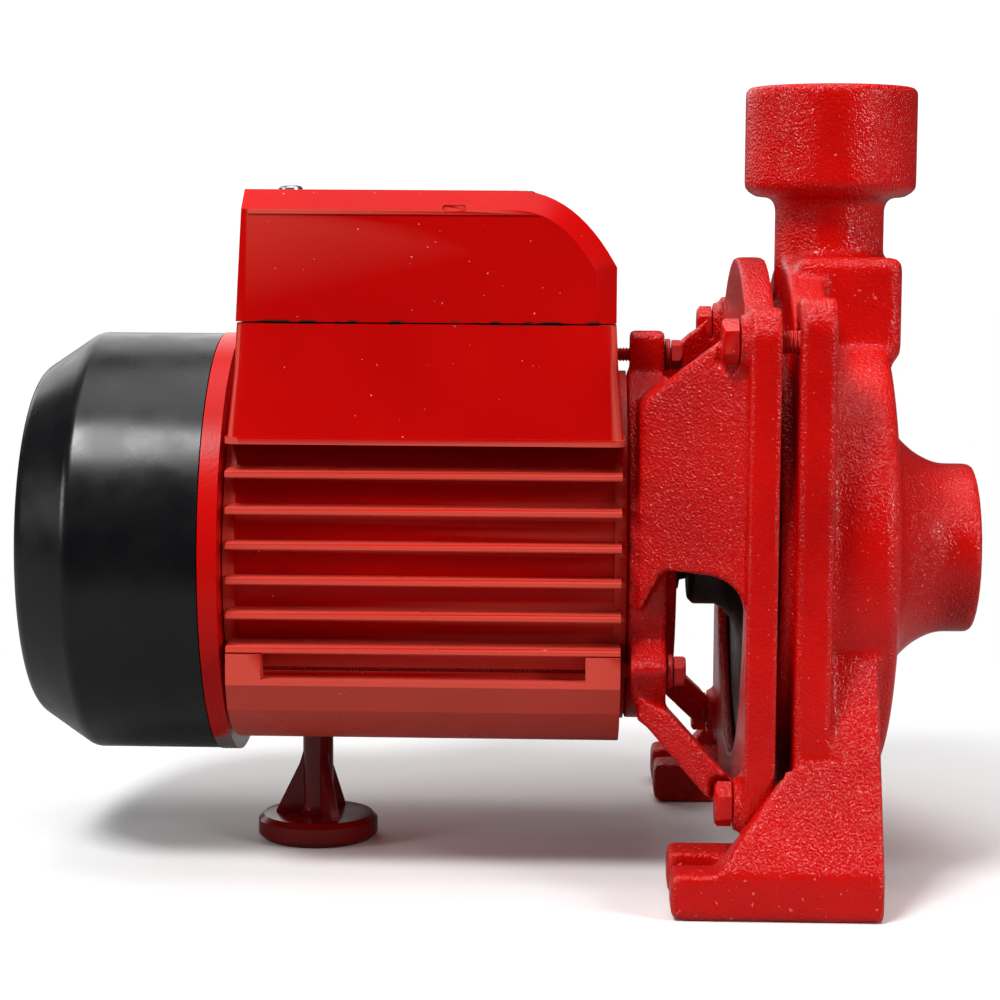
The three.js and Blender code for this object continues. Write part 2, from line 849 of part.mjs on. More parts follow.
function lanternBracket() {
  const b = BRACKET;
  const spigot = HOUSING.bore - GAP;
  const pocketX = FRONT_BEARING_X + BEARING.width + GAP;
  const rear = turned(
    [
      [b.backX, spigot - b.spigotWall],
      [b.spigotX, spigot - b.spigotWall],
      [b.spigotX, spigot],
      [b.backX, spigot],
      [b.backX, b.rearRadius],
      [b.rearFaceX, b.rearRadius],
      [b.rearFaceX, b.bossRadius + 2],
      [b.rearFaceX + 0.8, b.bossRadius + 0.6],
      [b.bossX - 0.6, b.bossRadius],
      [b.bossX, b.bossRadius - 0.6],
      [b.bossX, b.shaftHole],
      [pocketX, b.shaftHole],
      [pocketX, BEARING.pocket],
      [b.backX, BEARING.pocket],
      [b.backX, b.hubRadius],
      [b.webX, b.hubRadius],
      [b.webX, spigot - b.spigotWall],
      [b.backX, spigot - b.spigotWall],
    ],
    WIDE_TURN,
  );
  const arms = common(bothSides(alongZ(armPlan(), -70, 70)), armSide());
  const opening = join(
    rodX(b.frontX - 1, b.faceX + 1, 0, 0, b.openingRadius, WIDE_ARC),
    rodX(b.seatX, b.faceX + 1, 0, 0, b.seatRadius, WIDE_ARC),
  );
  const front = cut(flangePlate(b.frontX, b.faceX, b.lugTop), opening);
  const pads = boltPoints.map(([y, z]) => rodX(b.padX, b.frontX + 1, y, z, 6.6, 8));
  const spotFaces = boltPoints.map(([y, z]) => rodX(b.spotX, b.padX, y, z, 6.9, 8));
  const boltHoles = boltPoints.map(([y, z]) => rodX(30, 60, y, z, CASING_BOLT.hole));
  const tieHoles = tiePoints.map(([y, z]) => rodX(0, 36, y, z, TIE.hole, 4));
  const headSpots = tiePoints.map(([y, z]) => rodX(b.rearFaceX, 36, y, z, 5.4));
  const cast = join(cut(join(arms, rear), ...spotFaces), tieEars(b.backX + 0.8, b.rearFaceX), front, ...pads);
  return cut(cast, ...boltHoles, ...tieHoles, ...headSpots);
}

// ---------------------------------------------------------------- seals

function sealPlate() {
  const s = SEAL_PLATE;
  return turned(
    [
      [s.backX, s.radius],
      [s.frontX, s.radius],
      [s.frontX, s.radius - 5],
      [s.webX, s.radius - 7],
      [s.webX, SEAT.pocket],
      [SEAT.backX - GAP, SEAT.pocket],
      [SEAT.backX - GAP, SEAT.shaftHole],
      [s.hubX, SEAT.shaftHole],
      [s.hubX, s.hubRadius - 1.5],
      [s.hubX + 1.5, s.hubRadius],
      [s.flareX, s.hubRadius],
      [s.backX - 3, s.hubRadius + 4],
      [s.backX, s.hubRadius + 14],
      [s.backX, s.radius],
    ],
    WIDE_TURN,
  );
}

const sealSeat = () => ring(SEAT.backX, SEAT.frontX, SEAT.inner, SEAT.outer);

function casingORing() {
  const o = O_RING;
  const profile = Array.from({ length: o.sides + 1 }, (_, i) => {
    const angle = (-i * Math.PI * 2) / o.sides;
    return [o.x - o.radius * Math.sin(angle), o.middle + o.radius * Math.cos(angle)];
  });
  return turned(profile, WIDE_TURN);
}

const sealHead = () => ring(SEAT.frontX + GAP, SEAL_HEAD.frontX, SEAL_HEAD.inner, SEAL_HEAD.outer);

function sealSpring() {
  const c = SEAL_SPRING;
  const perTurn = 12;
  const steps = perTurn * c.turns;
  const points = Array.from({ length: steps + 1 }, (_, i) => {
    const angle = (i / perTurn) * Math.PI * 2;
    const x = c.backX + (i / perTurn) * c.pitch;
    return new THREE.Vector3(x, c.radius * Math.cos(angle), c.radius * Math.sin(angle));
  });
  const extrudePath = new THREE.CatmullRomCurve3(points);
  const options = { steps, curveSegments: 3, bevelEnabled: false, extrudePath };
  return solidOf(new THREE.ExtrudeGeometry(circle(0, 0, c.wire), options));
}

const slinger = () => ring(SLINGER.backX, SLINGER.frontX, SLINGER.inner, SLINGER.outer);

// ---------------------------------------------------------------- volute casing

function casingBody() {
  const c = CASING;
  const s = SUCTION;
  return turned(
    [
      [c.backX, 0],
      [c.backX, c.bodyRadius],
      [c.cornerX, c.bodyRadius],
      ...c.nose,
      [s.faceX - s.chamfer, s.radius],
      [s.faceX, s.radius - s.chamfer],
      [s.faceX, 0],
    ],
    WIDE_TURN,
  );
}

function dischargeNeck() {
  const d = DISCHARGE;
  return turnedUp(
    [
      [40, 0],
      [40, d.neckRadius],
      [d.neckFlareZ, d.neckRadius],
      [d.neckFlareZ + 2.6, d.neckRadius + 1.6],
      [d.undersideZ - 1, d.neckRadius + 5],
      [d.undersideZ + 0.4, d.radius - 1],
      [d.undersideZ + 1.6, d.radius],
      [d.faceZ - d.chamfer, d.radius],
      [d.faceZ, d.radius - d.chamfer],
      [d.faceZ, 0],
    ],
    d.x,
    WIDE_TURN,
  );
}

// One leg: an outer web that spreads below the body, its gusset and its slotted foot.
function casingLeg() {
  const f = FOOT;
  const floor = -SHAFT_HEIGHT;
  const front = outline([
    [-30, -40],
    [f.shoulder.y, f.shoulder.z],
    [-f.outer, f.topZ],
    [-f.outer, floor],
    [-f.inner, floor],
    [-f.inner, f.topZ],
    [-40, -62],
  ]);
  const web = alongX(front, CASING.backX + 0.4, f.frontX);
  const gussetSide = [
    [CASING.backX + 6, f.gussetTopZ],
    [CASING.backX + 0.4, f.gussetTopZ],
    [f.gussetToeX, f.topZ],
    [f.gussetToeX, f.topZ - 4],
    [CASING.backX + 6, f.topZ - 4],
  ];
  const gussetBlock = alongY(eased(gussetSide, 1.2), -f.outer, -f.gussetInner, 3);
  const gusset = common(gussetBlock, alongX(front, f.gussetToeX - 1, f.frontX));
  const soleSide = [
    [f.endX, floor],
    [f.frontX, floor],
    [f.frontX, f.topZ],
    [f.endX, f.topZ],
  ];
  const sole = alongY(eased(soleSide, f.corner), -f.outer, -f.inner, 4);
  const middle = -(f.outer + f.inner) / 2;
  const end = f.endX + f.slotDepth - f.slotWidth / 2;
  const slotHalf = f.slotWidth / 2;
  const slot = join(
    alongZ(circle(end, middle, slotHalf), floor - 1, f.topZ + 1, 8),
    box(f.endX - 1, end, middle - slotHalf, middle + slotHalf, floor - 1, f.topZ + 1),
  );
  const lugRoom = box(BRACKET.frontX - 6, CASING.backX, -f.gussetInner, -30, f.topZ, 0);
  return cut(join(web, gusset, sole), slot, lugRoom);
}

function dischargeBlock() {
  const b = BLOCK;
  const side = [
    [b.backX, b.bottomZ],
    [b.frontX - 2, b.bottomZ],
    [b.frontX, b.bottomZ + 3],
    [b.frontX, b.topZ],
    [b.backX, b.topZ],
  ];
  return alongY(eased(side, b.corner), -b.halfWidth, b.halfWidth, 4);
}

// The wet space: impeller chamber, suction bore, discharge passage and port threads.
function waterway() {
  const c = CASING;
  const s = SUCTION;
  const d = DISCHARGE;
  const chamber = turned(
    [
      [c.backX - 8, 0],
      [c.backX - 8, c.ringInner],
      [c.shoulderX, c.ringInner],
      [c.shoulderX, c.chamberRadius],
      [c.chamberX - 3, c.chamberRadius],
      [c.chamberX, c.chamberRadius - 4],
      [c.chamberX, s.bore + 2.6],
      [c.chamberX + 1, s.bore],
      [s.faceX + 1, s.bore],
      [s.faceX + 1, 0],
    ],
    WIDE_TURN,
  );
  const passage = alongZ(circle(d.x, 0, d.passage), 30, d.faceZ + 1, 12);
  const port = alongZ(circle(d.x, 0, d.bore), d.faceZ - d.portDepth, d.faceZ + 1, 16);
  return join(chamber, passage, port);
}

function volute() {
  const c = CASING;
  const flange = flangePlate(c.backX, c.flangeX, c.lugTop);
  const spigotRing = rodX(c.ringX, c.backX + 1, 0, 0, c.ringOuter, WIDE_ARC);
  const plugBores = join(
    rodX(DISCHARGE.x + 6, BLOCK.frontX + 1, 0, PRIMING_PLUG.z, PRIMING_PLUG.bore, 8),
    rodX(c.chamberX - 4, DRAIN_PLUG.frontX + 2, 0, DRAIN_PLUG.z, DRAIN_PLUG.bore, 8),
  );
  const tapEnd = CASING_BOLT.endX + 0.6;
  const taps = boltPoints.map(([y, z]) => rodX(c.backX - 1, tapEnd, y, z, CASING_BOLT.tap));
  const legs = bothSides(casingLeg());
  const cast = join(casingBody(), flange, spigotRing, dischargeNeck(), dischargeBlock(), legs);
  return cut(cast, waterway(), plugBores, ...taps);
}

// A flush plug with a hexagon socket.
function socketPlug({ frontX, z, radius, length, key }) {
  const body = rodX(frontX - length, frontX, 0, z, radius, 8);
  const socket = alongX(hexagon(0, z, key), frontX - length / 2, frontX + 1);
  return cut(body, socket);
}

// ---------------------------------------------------------------- impeller

function impellerVane() {
  const v = IMPELLER;
  const steps = 5;
  const edge = (offset) =>
    Array.from({ length: steps + 1 }, (_, i) => {
      const radius = v.eyeInner + 2 + (i / steps) * (v.radius - v.eyeInner - 2.6);
      const angle = (i / steps) * v.vaneSweep;
      const thick = offset / radius;
      return [radius * Math.cos(angle + thick), radius * Math.sin(angle + thick)];
    });
  const half = v.vaneThickness / 2;
  return alongX(outline([...edge(-half), ...edge(half).reverse()]), v.shroudX - 1, v.frontX + 1);
}

function impeller() {
  const v = IMPELLER;
  const back = turned(
    [
      [v.backX, v.bore],
      [v.backX, v.radius],
      [v.shroudX, v.radius],
      [v.shroudX, v.hubRadius + 3],
      [v.frontX - 2, v.hubRadius],
      [v.frontX, v.hubRadius - 2],
      [v.frontX, v.bore],
      [v.backX, v.bore],
    ],
    WIDE_TURN,
  );
  const front = turned(
    [
      [v.frontX, v.eyeInner],
      [v.frontX, v.radius],
      [v.frontX + 2, v.radius],
      [v.frontX + 2, v.eyeOuter],
      [v.eyeX, v.eyeOuter],
      [v.eyeX, v.eyeInner],
      [v.frontX, v.eyeInner],
    ],
    WIDE_TURN,
  );
  const vane = impellerVane();
  const vanes = Array.from({ length: v.vanes }, (_, i) => vane.rotate([(i * 360) / v.vanes, 0, 0]));
  const keyway = box(v.backX - 1, v.frontX - 2, -1.4, 1.4, 4, 7.4);
  return cut(join(back, front, ...vanes), keyway);
}

const impellerKey = () => box(KEY.backX, KEY.frontX, -KEY.halfWidth, KEY.halfWidth, KEY.bottomZ, KEY.topZ);

function impellerNut() {
  const x0 = IMPELLER.frontX + 0.6;
  return cut(alongX(hexagon(0, 0, 13), x0, x0 + 6), rodX(x0 - 1, x0 + 7, 0, 0, 4.3, 8));
}

// ---------------------------------------------------------------- fasteners and foot

function casingBolt([y, z]) {
  const b = CASING_BOLT;
  const head = alongX(hexagon(y, z, b.flats, Math.PI / 2), b.headX, b.headX + b.headHeight);
  return join(head, rodX(b.headX + b.headHeight - 1, b.endX, y, z, b.radius));
}

function tieBolt([y, z]) {
  const b = TIE_BOLT;
  const head = alongX(hexagon(y, z, b.flats), b.headX, b.headX + b.headHeight);
  return join(head, rodX(b.backX, b.headX + 1, y, z, b.radius, 4));
}

function tieWasher([y, z]) {
  const w = TIE_WASHER;
  return cut(rodX(w.backX, w.frontX, y, z, w.radius, 7), rodX(w.backX - 1, w.frontX + 1, y, z, TIE.hole, 4));
}

function supportFoot() {
  const s = SUPPORT;
  const floor = -SHAFT_HEIGHT;
  const topZ = HOUSING.bottomZ - GAP;
  const pad = turnedUp(
    [
      [floor, 0],
      [floor, s.soleRadius],
      [floor + 1.3, s.discRadius],
      [s.rimTopZ, s.discRadius],
      [s.topZ, s.flatRadius],
      [s.topZ, 0],
    ],
    s.x,
    40,
  );
  const column = alongZ(circle(s.x, 0, s.columnRadius), floor + 2, topZ, 10);
  const half = s.gussetThickness / 2;
  const wedge = alongY(
    outline([
      [0, s.gussetTopZ],
      [s.columnRadius, s.gussetTopZ],
      [s.gussetReach, s.topZ - 1],
      [0, s.topZ - 1],
    ]),
    -half,
    half,
  );
  const gussets = s.gussetTurns.map((degrees) => wedge.rotate([0, 0, degrees]).translate([s.x, 0, 0]));
  return join(pad, column, ...gussets);
}

// ---------------------------------------------------------------- assembly

function motorPieces() {
  return [
    piece("motor_housing", motorHousing(), smoothRed()),
    piece("rear_end_shield", rearEndShield(), castRed()),
    piece("fan_cover", fanCover(), blackPlastic()),
    piece("terminal_box_cover", terminalBoxCover(), smoothRed()),
    piece("terminal_block", terminalBlock(), blackPlastic()),
    piece("capacitor", capacitor(), aluminium()),
    piece("cable_gland", cableGland(), blackPlastic()),
    piece("stator_core", statorCore(), laminations()),
    piece("winding_front", winding(STATOR.frontX, 1), copper()),
    piece("winding_rear", winding(STATOR.backX, -1), copper()),
    piece("front_bearing_outer", bearingOuter(FRONT_BEARING_X), steel()),
    piece("rear_bearing_outer", bearingOuter(REAR_BEARING_X), steel()),
    piece("support_foot", supportFoot(), plasticRed()),
    ...BOX_SCREWS.map((spot, i) => piece(`box_screw_${i + 1}`, boxScrew(spot), steel())),
    ...tiePoints.map((spot, i) => piece(`tie_bolt_${i + 1}`, tieBolt(spot), steel())),
    ...tiePoints.map((spot, i) => piece(`tie_washer_${i + 1}`, tieWasher(spot), steel())),
  ];
}

function rotorPieces() {
  return [
    piece("shaft", shaft(), steel()),
    piece("rotor_core", rotorCore(), laminations()),
    piece("front_bearing_inner", bearingInner(FRONT_BEARING_X), steel()),
    piece("rear_bearing_inner", bearingInner(REAR_BEARING_X), steel()),
    piece("cooling_fan", coolingFan(), blackPlastic()),
    piece("slinger", slinger(), rubber()),
    piece("seal_head", sealHead(), steel()),
    piece("seal_spring", sealSpring(), steel()),
    piece("impeller", impeller(), brass()),
    piece("impeller_key", impellerKey(), steel()),
    piece("impeller_nut", impellerNut(), brass()),
  ];
}

function pumpPieces() {
  return [
    piece("lantern_bracket", lanternBracket(), castRed()),
    piece("seal_plate", sealPlate(), castIron()),
    piece("seal_seat", sealSeat(), ceramic()),
    piece("casing_o_ring", casingORing(), rubber()),
    piece("volute_casing", volute(), castRed()),
    piece("priming_plug", socketPlug(PRIMING_PLUG), castRed()),
    piece("drain_plug", socketPlug(DRAIN_PLUG), castRed()),
    ...boltPoints.map((spot, i) => piece(`casing_bolt_${i + 1}`, casingBolt(spot), castRed())),
  ];
}

const pump = new THREE.Group();
pump.add(...motorPieces(), ...rotorPieces(), ...pumpPieces());
pump.position.set(-(FAN_COVER.endX + SUCTION.faceX) / 2, 0, SHAFT_HEIGHT);

const part = new THREE.Group();
part.add(pump);

export default part;
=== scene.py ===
# %% [markdown]
# # A close-coupled centrifugal water pump
# The pump is a finned motor, an open lantern bracket and a cast casing on one shaft.
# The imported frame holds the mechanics: every size, mount and joint. This lesson adds the
# fine shapes and the finishes. The frame is loaded first, because each piece made here
# takes its place from it and rides on one of its bodies.

# %% Load the frame
import json
import math

import bmesh
import bpy
from mathutils import Matrix, Vector


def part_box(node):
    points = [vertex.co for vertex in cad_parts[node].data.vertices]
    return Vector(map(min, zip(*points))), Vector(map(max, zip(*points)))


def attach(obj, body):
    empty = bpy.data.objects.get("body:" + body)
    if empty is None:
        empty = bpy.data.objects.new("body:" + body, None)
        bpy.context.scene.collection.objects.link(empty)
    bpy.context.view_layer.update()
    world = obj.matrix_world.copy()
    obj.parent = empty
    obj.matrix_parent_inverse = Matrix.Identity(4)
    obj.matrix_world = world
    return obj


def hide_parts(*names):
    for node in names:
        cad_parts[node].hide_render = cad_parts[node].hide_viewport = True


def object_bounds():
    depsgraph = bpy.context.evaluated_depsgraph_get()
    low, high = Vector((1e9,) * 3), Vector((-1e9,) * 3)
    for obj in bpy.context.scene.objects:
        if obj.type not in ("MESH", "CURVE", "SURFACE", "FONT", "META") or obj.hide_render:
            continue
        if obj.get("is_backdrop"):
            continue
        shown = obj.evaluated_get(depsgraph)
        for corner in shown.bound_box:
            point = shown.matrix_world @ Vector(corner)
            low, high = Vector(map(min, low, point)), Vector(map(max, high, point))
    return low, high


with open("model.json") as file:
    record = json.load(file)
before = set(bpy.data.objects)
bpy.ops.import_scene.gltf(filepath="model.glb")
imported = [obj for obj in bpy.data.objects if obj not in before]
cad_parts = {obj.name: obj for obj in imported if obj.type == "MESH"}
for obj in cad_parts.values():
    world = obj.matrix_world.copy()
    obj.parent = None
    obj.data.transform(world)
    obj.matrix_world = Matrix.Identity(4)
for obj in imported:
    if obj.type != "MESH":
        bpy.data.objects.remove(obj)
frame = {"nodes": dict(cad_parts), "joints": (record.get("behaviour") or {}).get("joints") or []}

scene = bpy.context.scene
cad_low, cad_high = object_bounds()
print("CAD nodes:", len(frame["nodes"]), "box:", tuple(cad_low), tuple(cad_high))

# %% [markdown]
# ## A drawing frame in millimetres
# A pump is drawn from its shaft axis, and from a datum plane across the lantern. Working
# in those numbers keeps every profile readable. One function carries a point from the
# drawing to the frame, whose units are metres and whose origin is on the floor. The shift
# between the two is worked out from the frame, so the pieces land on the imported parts.

# %% Millimetres to the frame
MM = 0.001
MOTOR_END = -143.0
shaft_height = frame["joints"][0]["pos_m"][2]
datum_x = cad_low.x - MOTOR_END * MM


def place(x, y, z):
    """A point measured in millimetres from the shaft axis and the datum plane."""
    return Vector((datum_x + x * MM, y * MM, shaft_height + z * MM))


print(f"datum plane at {datum_x:.4f} m, shaft axis at {shaft_height:.4f} m")

# %% [markdown]
# ## Camera
# The camera looks from a little above through a long lens, so the upright edges of the
# pump stay nearly upright. It is built from three angles and a place. Its columns are the
# right, up and backward directions, which is what Blender expects of a camera that looks
# along its own -Z.

# %% Camera
LENS_MM = 88.74
SENSOR_MM = 36.0
camera_data = bpy.data.cameras.new("catalogue_camera")
camera_data.lens = LENS_MM
camera_data.sensor_width = SENSOR_MM
camera = bpy.data.objects.new("catalogue_camera", camera_data)
scene.collection.objects.link(camera)
YAW = math.radians(-1.683)
PITCH = math.radians(5.907)
ROLL = math.radians(0.38)
CAMERA_SPOT = place(0.0, -667.5, 80.8)


def camera_matrix(spot, yaw, pitch, roll):
    """A camera at spot, turned by yaw, tipped down by pitch and rolled."""
    level_ahead = Vector((math.sin(yaw), math.cos(yaw), 0.0))
    ahead = level_ahead * math.cos(pitch) - Vector((0.0, 0.0, math.sin(pitch)))
    level = Vector((math.cos(yaw), -math.sin(yaw), 0.0))
    top = level.cross(ahead)
    right = level * math.cos(roll) + top * math.sin(roll)
    up = top * math.cos(roll) - level * math.sin(roll)
    turn = Matrix((right, up, -ahead)).transposed().to_4x4()
    return Matrix.Translation(spot) @ turn


camera.matrix_world = camera_matrix(CAMERA_SPOT, YAW, PITCH, ROLL)
scene.camera = camera
print("camera at", tuple(round(c, 4) for c in camera.location))

# %% [markdown]
# ## Soft studio light
# Enamel shows its quality in its highlights. The key lamp stands high on the left, and two
# weaker ones of about its size stand lower, left and right. Two large ones, above and
# behind, give the top edges a rim. The world is white for the camera but nearly dark as a
# light: a fully white surrounding would wash the red out, because gloss mirrors it from
# every side.

# %% Lamps and world
LAMPS = {
    # name: place in metres, width in metres, watts
    "key_softbox": ((-0.42, -0.62, 1.15), 0.32, 12.5),
    "right_softbox": ((1.05, -0.62, 0.55), 0.35, 7.5),
    "left_softbox": ((-1.15, -0.50, 0.45), 0.35, 3.5),
    "top_softbox": ((0.05, 0.10, 1.10), 0.8, 6.0),
    "back_softbox": ((-0.5, 0.95, 0.7), 0.9, 4.0),
}
WORLD_AS_LIGHT = 0.05
WORLD_TO_CAMERA = 1.1


def softbox(name, spot, size, watts):
    """A square lamp at spot that faces the middle of the pump."""
    lamp = bpy.data.lights.new(name, "AREA")
    lamp.size = size
    lamp.energy = watts
    stand = bpy.data.objects.new(name, lamp)
    stand.location = spot
    aim = (cad_low + cad_high) / 2 - stand.location
    stand.rotation_euler = aim.to_track_quat("-Z", "Y").to_euler()
    scene.collection.objects.link(stand)


for lamp_name, (spot, size, watts) in LAMPS.items():
    softbox(lamp_name, Vector(spot), size, watts)

scene.view_settings.view_transform = "Standard"
world = bpy.data.worlds.new("white_studio")
world.use_nodes = True
scene.world = world
air = world.node_tree
seen = air.nodes.new("ShaderNodeLightPath")
bright = air.nodes.new("ShaderNodeMapRange")
bright.inputs["To Min"].default_value = WORLD_AS_LIGHT
bright.inputs["To Max"].default_value = WORLD_TO_CAMERA
air.links.new(seen.outputs["Is Camera Ray"], bright.inputs["Value"])
air.links.new(bright.outputs["Result"], air.nodes["Background"].inputs["Strength"])
air.nodes["Background"].inputs["Color"].default_value = (1.0, 1.0, 1.0, 1.0)
print("lamps:", len(LAMPS))

# %% [markdown]
# ## Solids from outlines
# Nearly every machine part is either turned on a lathe or pulled straight from an outline.
# Three helpers cover both: `turned` sweeps a profile round an axis, `lofted` joins outlines
# that lie one behind another, and `prism` pulls a single outline along an axis and can ease
# its end edges. Each gives a closed mesh, which is what the joining and cutting need later.
# Modelling them in code, not by hand, keeps the profile as the thing one edits.

# %% Closed meshes
def solid(name, points, faces):
    """A closed mesh object from drawing points."""
    mesh = bpy.data.meshes.new(name)
    mesh.from_pydata([place(*point) for point in points], [], faces)
    shape = bmesh.new()
    shape.from_mesh(mesh)
    bmesh.ops.remove_doubles(shape, verts=shape.verts, dist=1e-7)
    bmesh.ops.recalc_face_normals(shape, faces=shape.faces)
    shape.to_mesh(mesh)
    shape.free()
    obj = bpy.data.objects.new(name, mesh)
    scene.collection.objects.link(obj)
    return obj


def turned(name, profile, centre=(0.0, 0.0), upright=False, steps=128):
    """A profile of (along, radius) points turned about an axis along x, or an upright one."""
    points = []
    rings = []
    for along, radius in profile:
        ring = []
        for i in range(steps if radius > 0 else 1):
            angle = 2 * math.pi * i / steps
            u = centre[0] + radius * math.cos(angle)
            v = centre[1] + radius * math.sin(angle)
            ring.append(len(points))
            points.append((u, v, along) if upright else (along, u, v))
        rings.append(ring)
    faces = []
    for a, b in zip(rings, rings[1:]):
        for i in range(steps):
            j = (i + 1) % steps
            corners = (a[i % len(a)], a[j % len(a)], b[j % len(b)], b[i % len(b)])
            face = list(dict.fromkeys(corners))
            if len(face) > 2:
                faces.append(face)
    return solid(name, points, faces)


# %% Prisms
def shrunk(outline, inset):
    """The outline with every side moved inwards."""
    count = len(outline)
    corners = [Vector(corner) for corner in outline]
    area = sum(corners[i - 1].cross(corners[i]) for i in range(count))
    side = 1 if area > 0 else -1
    result = []
    for i, (u, v) in enumerate(outline):
        before = Vector((u - outline[i - 1][0], v - outline[i - 1][1])).normalized()
        after = outline[(i + 1) % count]
        ahead = Vector((after[0] - u, after[1] - v)).normalized()
        bisector = (Vector((-before.y, before.x)) + Vector((-ahead.y, ahead.x))) * side
        step = bisector * (2 * inset / max(bisector.length_squared, 0.5))
        result.append((u + step.x, v + step.y))
    return result


def lofted(name, levels, along="x"):
    """A solid through outlines of equal count: (y, z) along x, (x, z) along y, (x, y) along z."""
    spread = {
        "x": lambda level, u, v: (level, u, v),
        "y": lambda level, u, v: (u, level, v),
        "z": lambda level, u, v: (u, v, level),
    }[along]
    count = len(levels[0][1])
    points = [spread(level, u, v) for level, ring in levels for u, v in ring]
    faces = [list(range(count)), list(range(len(points) - count, len(points)))]
    for k in range(len(levels) - 1):
        for i in range(count):
            j = (i + 1) % count
            faces.append([k * count + i, k * count + j, (k + 1) * count + j, (k + 1) * count + i])
    return solid(name, points, faces)


def prism(name, outline, low, high, along="x", ease=0.0):
    """One outline pulled from low to high, with its end edges eased if asked."""
    levels = [(low, outline), (high, outline)]
    if ease:
        inner = shrunk(outline, ease)
        levels = [(low, inner), (low + ease, outline), (high - ease, outline), (high, inner)]
    return lofted(name, levels, along)


# %% Outlines
def rounded(points, radius, steps=5):
    """The outline with each corner eased by a radius."""
    result = []
    for i, (u, v) in enumerate(points):
        corner = Vector((u, v))
        before = Vector(points[i - 1])
        after = Vector(points[(i + 1) % len(points)])
        reach = min(radius, (before - corner).length / 2.01, (after - corner).length / 2.01)
        start = corner + (before - corner).normalized() * reach
        end = corner + (after - corner).normalized() * reach
        for k in range(steps + 1):
            t = k / steps
            spot = start * (1 - t) ** 2 + corner * (2 * t * (1 - t)) + end * t**2
            result.append((spot.x, spot.y))
    return result


def eased_line(points, radius, steps=6):
    """An open line whose inner corners are eased, with its two ends kept."""
    soft = rounded(points, radius, steps)
    return [points[0], *soft[steps + 1 : -steps - 1], points[-1]]


def circle(u, v, radius, steps=48):
    """A round outline."""
    turns = [2 * math.pi * i / steps for i in range(steps)]
    return [(u + radius * math.cos(a), v + radius * math.sin(a)) for a in turns]


def hexagon(u, v, flats, turn=0.0):
    """A hexagon outline of the given width across its flats."""
    radius = flats / math.sqrt(3)
    return [(u + radius * math.cos(turn + k * math.pi / 3), v + radius * math.sin(turn + k * math.pi / 3))
            for k in range(6)]


def rectangle(u0, u1, v0, v1):
    """A rectangular outline."""
    return [(u0, v0), (u1, v0), (u1, v1), (u0, v1)]


def swung(points, degrees):
    """The points turned about the origin."""
    across = math.cos(math.radians(degrees))
    up = math.sin(math.radians(degrees))
    return [(u * across - v * up, u * up + v * across) for u, v in points]


def block(name, x0, x1, y0, y1, z0, z1):
    """A plain block, to join or to cut with."""
    return prism(name, rectangle(x0, x1, y0, y1), z0, z1, along="z")


def flowing(points, steps=6):
    """A smooth line through the points, as a list of closer points."""
    ends = [points[0], *points, points[-1]]
    result = []
    for a, b, c, d in zip(ends, ends[1:], ends[2:], ends[3:]):
        a, b, c, d = (Vector(p) for p in (a, b, c, d))
        for k in range(steps):
            t = k / steps
            bend = (2 * a - 5 * b + 4 * c - d) * t**2
            twist = (3 * b - 3 * c + d - a) * t**3
            spot = 0.5 * (2 * b + (c - a) * t + bend + twist)
            result.append((spot.x, spot.y))
    result.append(tuple(points[-1]))
    return result


print("outline helpers: rounded, eased_line, circle, hexagon, rectangle, swung, flowing")

# %% [markdown]
# ## Joining, cutting and casting
# A casting is not a pile of blocks: its corners flow into each other because molten metal
# and paint both fill sharp corners. The blocks are first joined and cut exactly with
# boolean modifiers. Then a voxel remesh rebuilds the skin as one even net, and a few
# smoothing passes pull the corners into small fillets. Bevels would struggle on such
# joined shapes, while the remesh treats all of them alike.

# %% Booleans, casting and bevels
def settle(obj):
    """Applies the object's modifiers to its mesh."""
    ready = obj.evaluated_get(bpy.context.evaluated_depsgraph_get())
    mesh = bpy.data.meshes.new_from_object(ready)
    obj.modifiers.clear()
    obj.data = mesh
    return obj


def shaped(body, joined=(), removed=(), kept=()):
    """Joins, cuts and trims a body with other solids, which are used up."""
    for operation, tools in (("UNION", joined), ("DIFFERENCE", removed), ("INTERSECT", kept)):
        for tool in tools:
            step = body.modifiers.new(operation, "BOOLEAN")
            step.operation = operation
            step.solver = "MANIFOLD"
            step.object = tool
    settle(body)
    for tool in (*joined, *removed, *kept):
        bpy.data.objects.remove(tool)
    return body


def smooth_faces(obj, crease_degrees=180.0):
    """Shades the faces smooth, but for edges sharper than the crease."""
    obj.data.polygons.foreach_set("use_smooth", [True] * len(obj.data.polygons))
    if crease_degrees < 180.0:
        obj.data.set_sharp_from_angle(angle=math.radians(crease_degrees))
    obj.data.update()
    return obj


def cast(obj, grid=0.95, passes=6):
    """Turns joined blocks into one cast skin with soft corners."""
    net = obj.modifiers.new("net", "REMESH")
    net.mode = "VOXEL"
    net.voxel_size = grid * MM
    soft = obj.modifiers.new("soft", "SMOOTH")
    soft.factor = 0.5
    soft.iterations = passes
    settle(obj)
    print(obj.name, "cast with", len(obj.data.polygons), "faces")
    return smooth_faces(obj)


def crisp(obj, width=0.4, crease_degrees=32.0):
    """Gives a machined or moulded piece small round edges, and keeps its flats flat."""
    bevel = obj.modifiers.new("edge", "BEVEL")
    bevel.limit_method = "ANGLE"
    bevel.angle_limit = math.radians(crease_degrees)
    bevel.width = width * MM
    bevel.segments = 3
    settle(obj)
    smooth_faces(obj, crease_degrees)
    even = obj.modifiers.new("even", "WEIGHTED_NORMAL")
    even.keep_sharp = True
    even.weight = 100
    return settle(obj)


print("solid helpers: shaped, cast, crisp")

# %% [markdown]
# ## Finishes
# Every finish starts from the same few steps: noise read in the piece's own coordinates,
# so that grain has a true size in millimetres, then a range to turn noise into a mask, a
# mix to colour with it and a bump to tilt the light. Procedural patterns are used and not
# pictures, because they stay sharp at any distance and wrap round any shape.

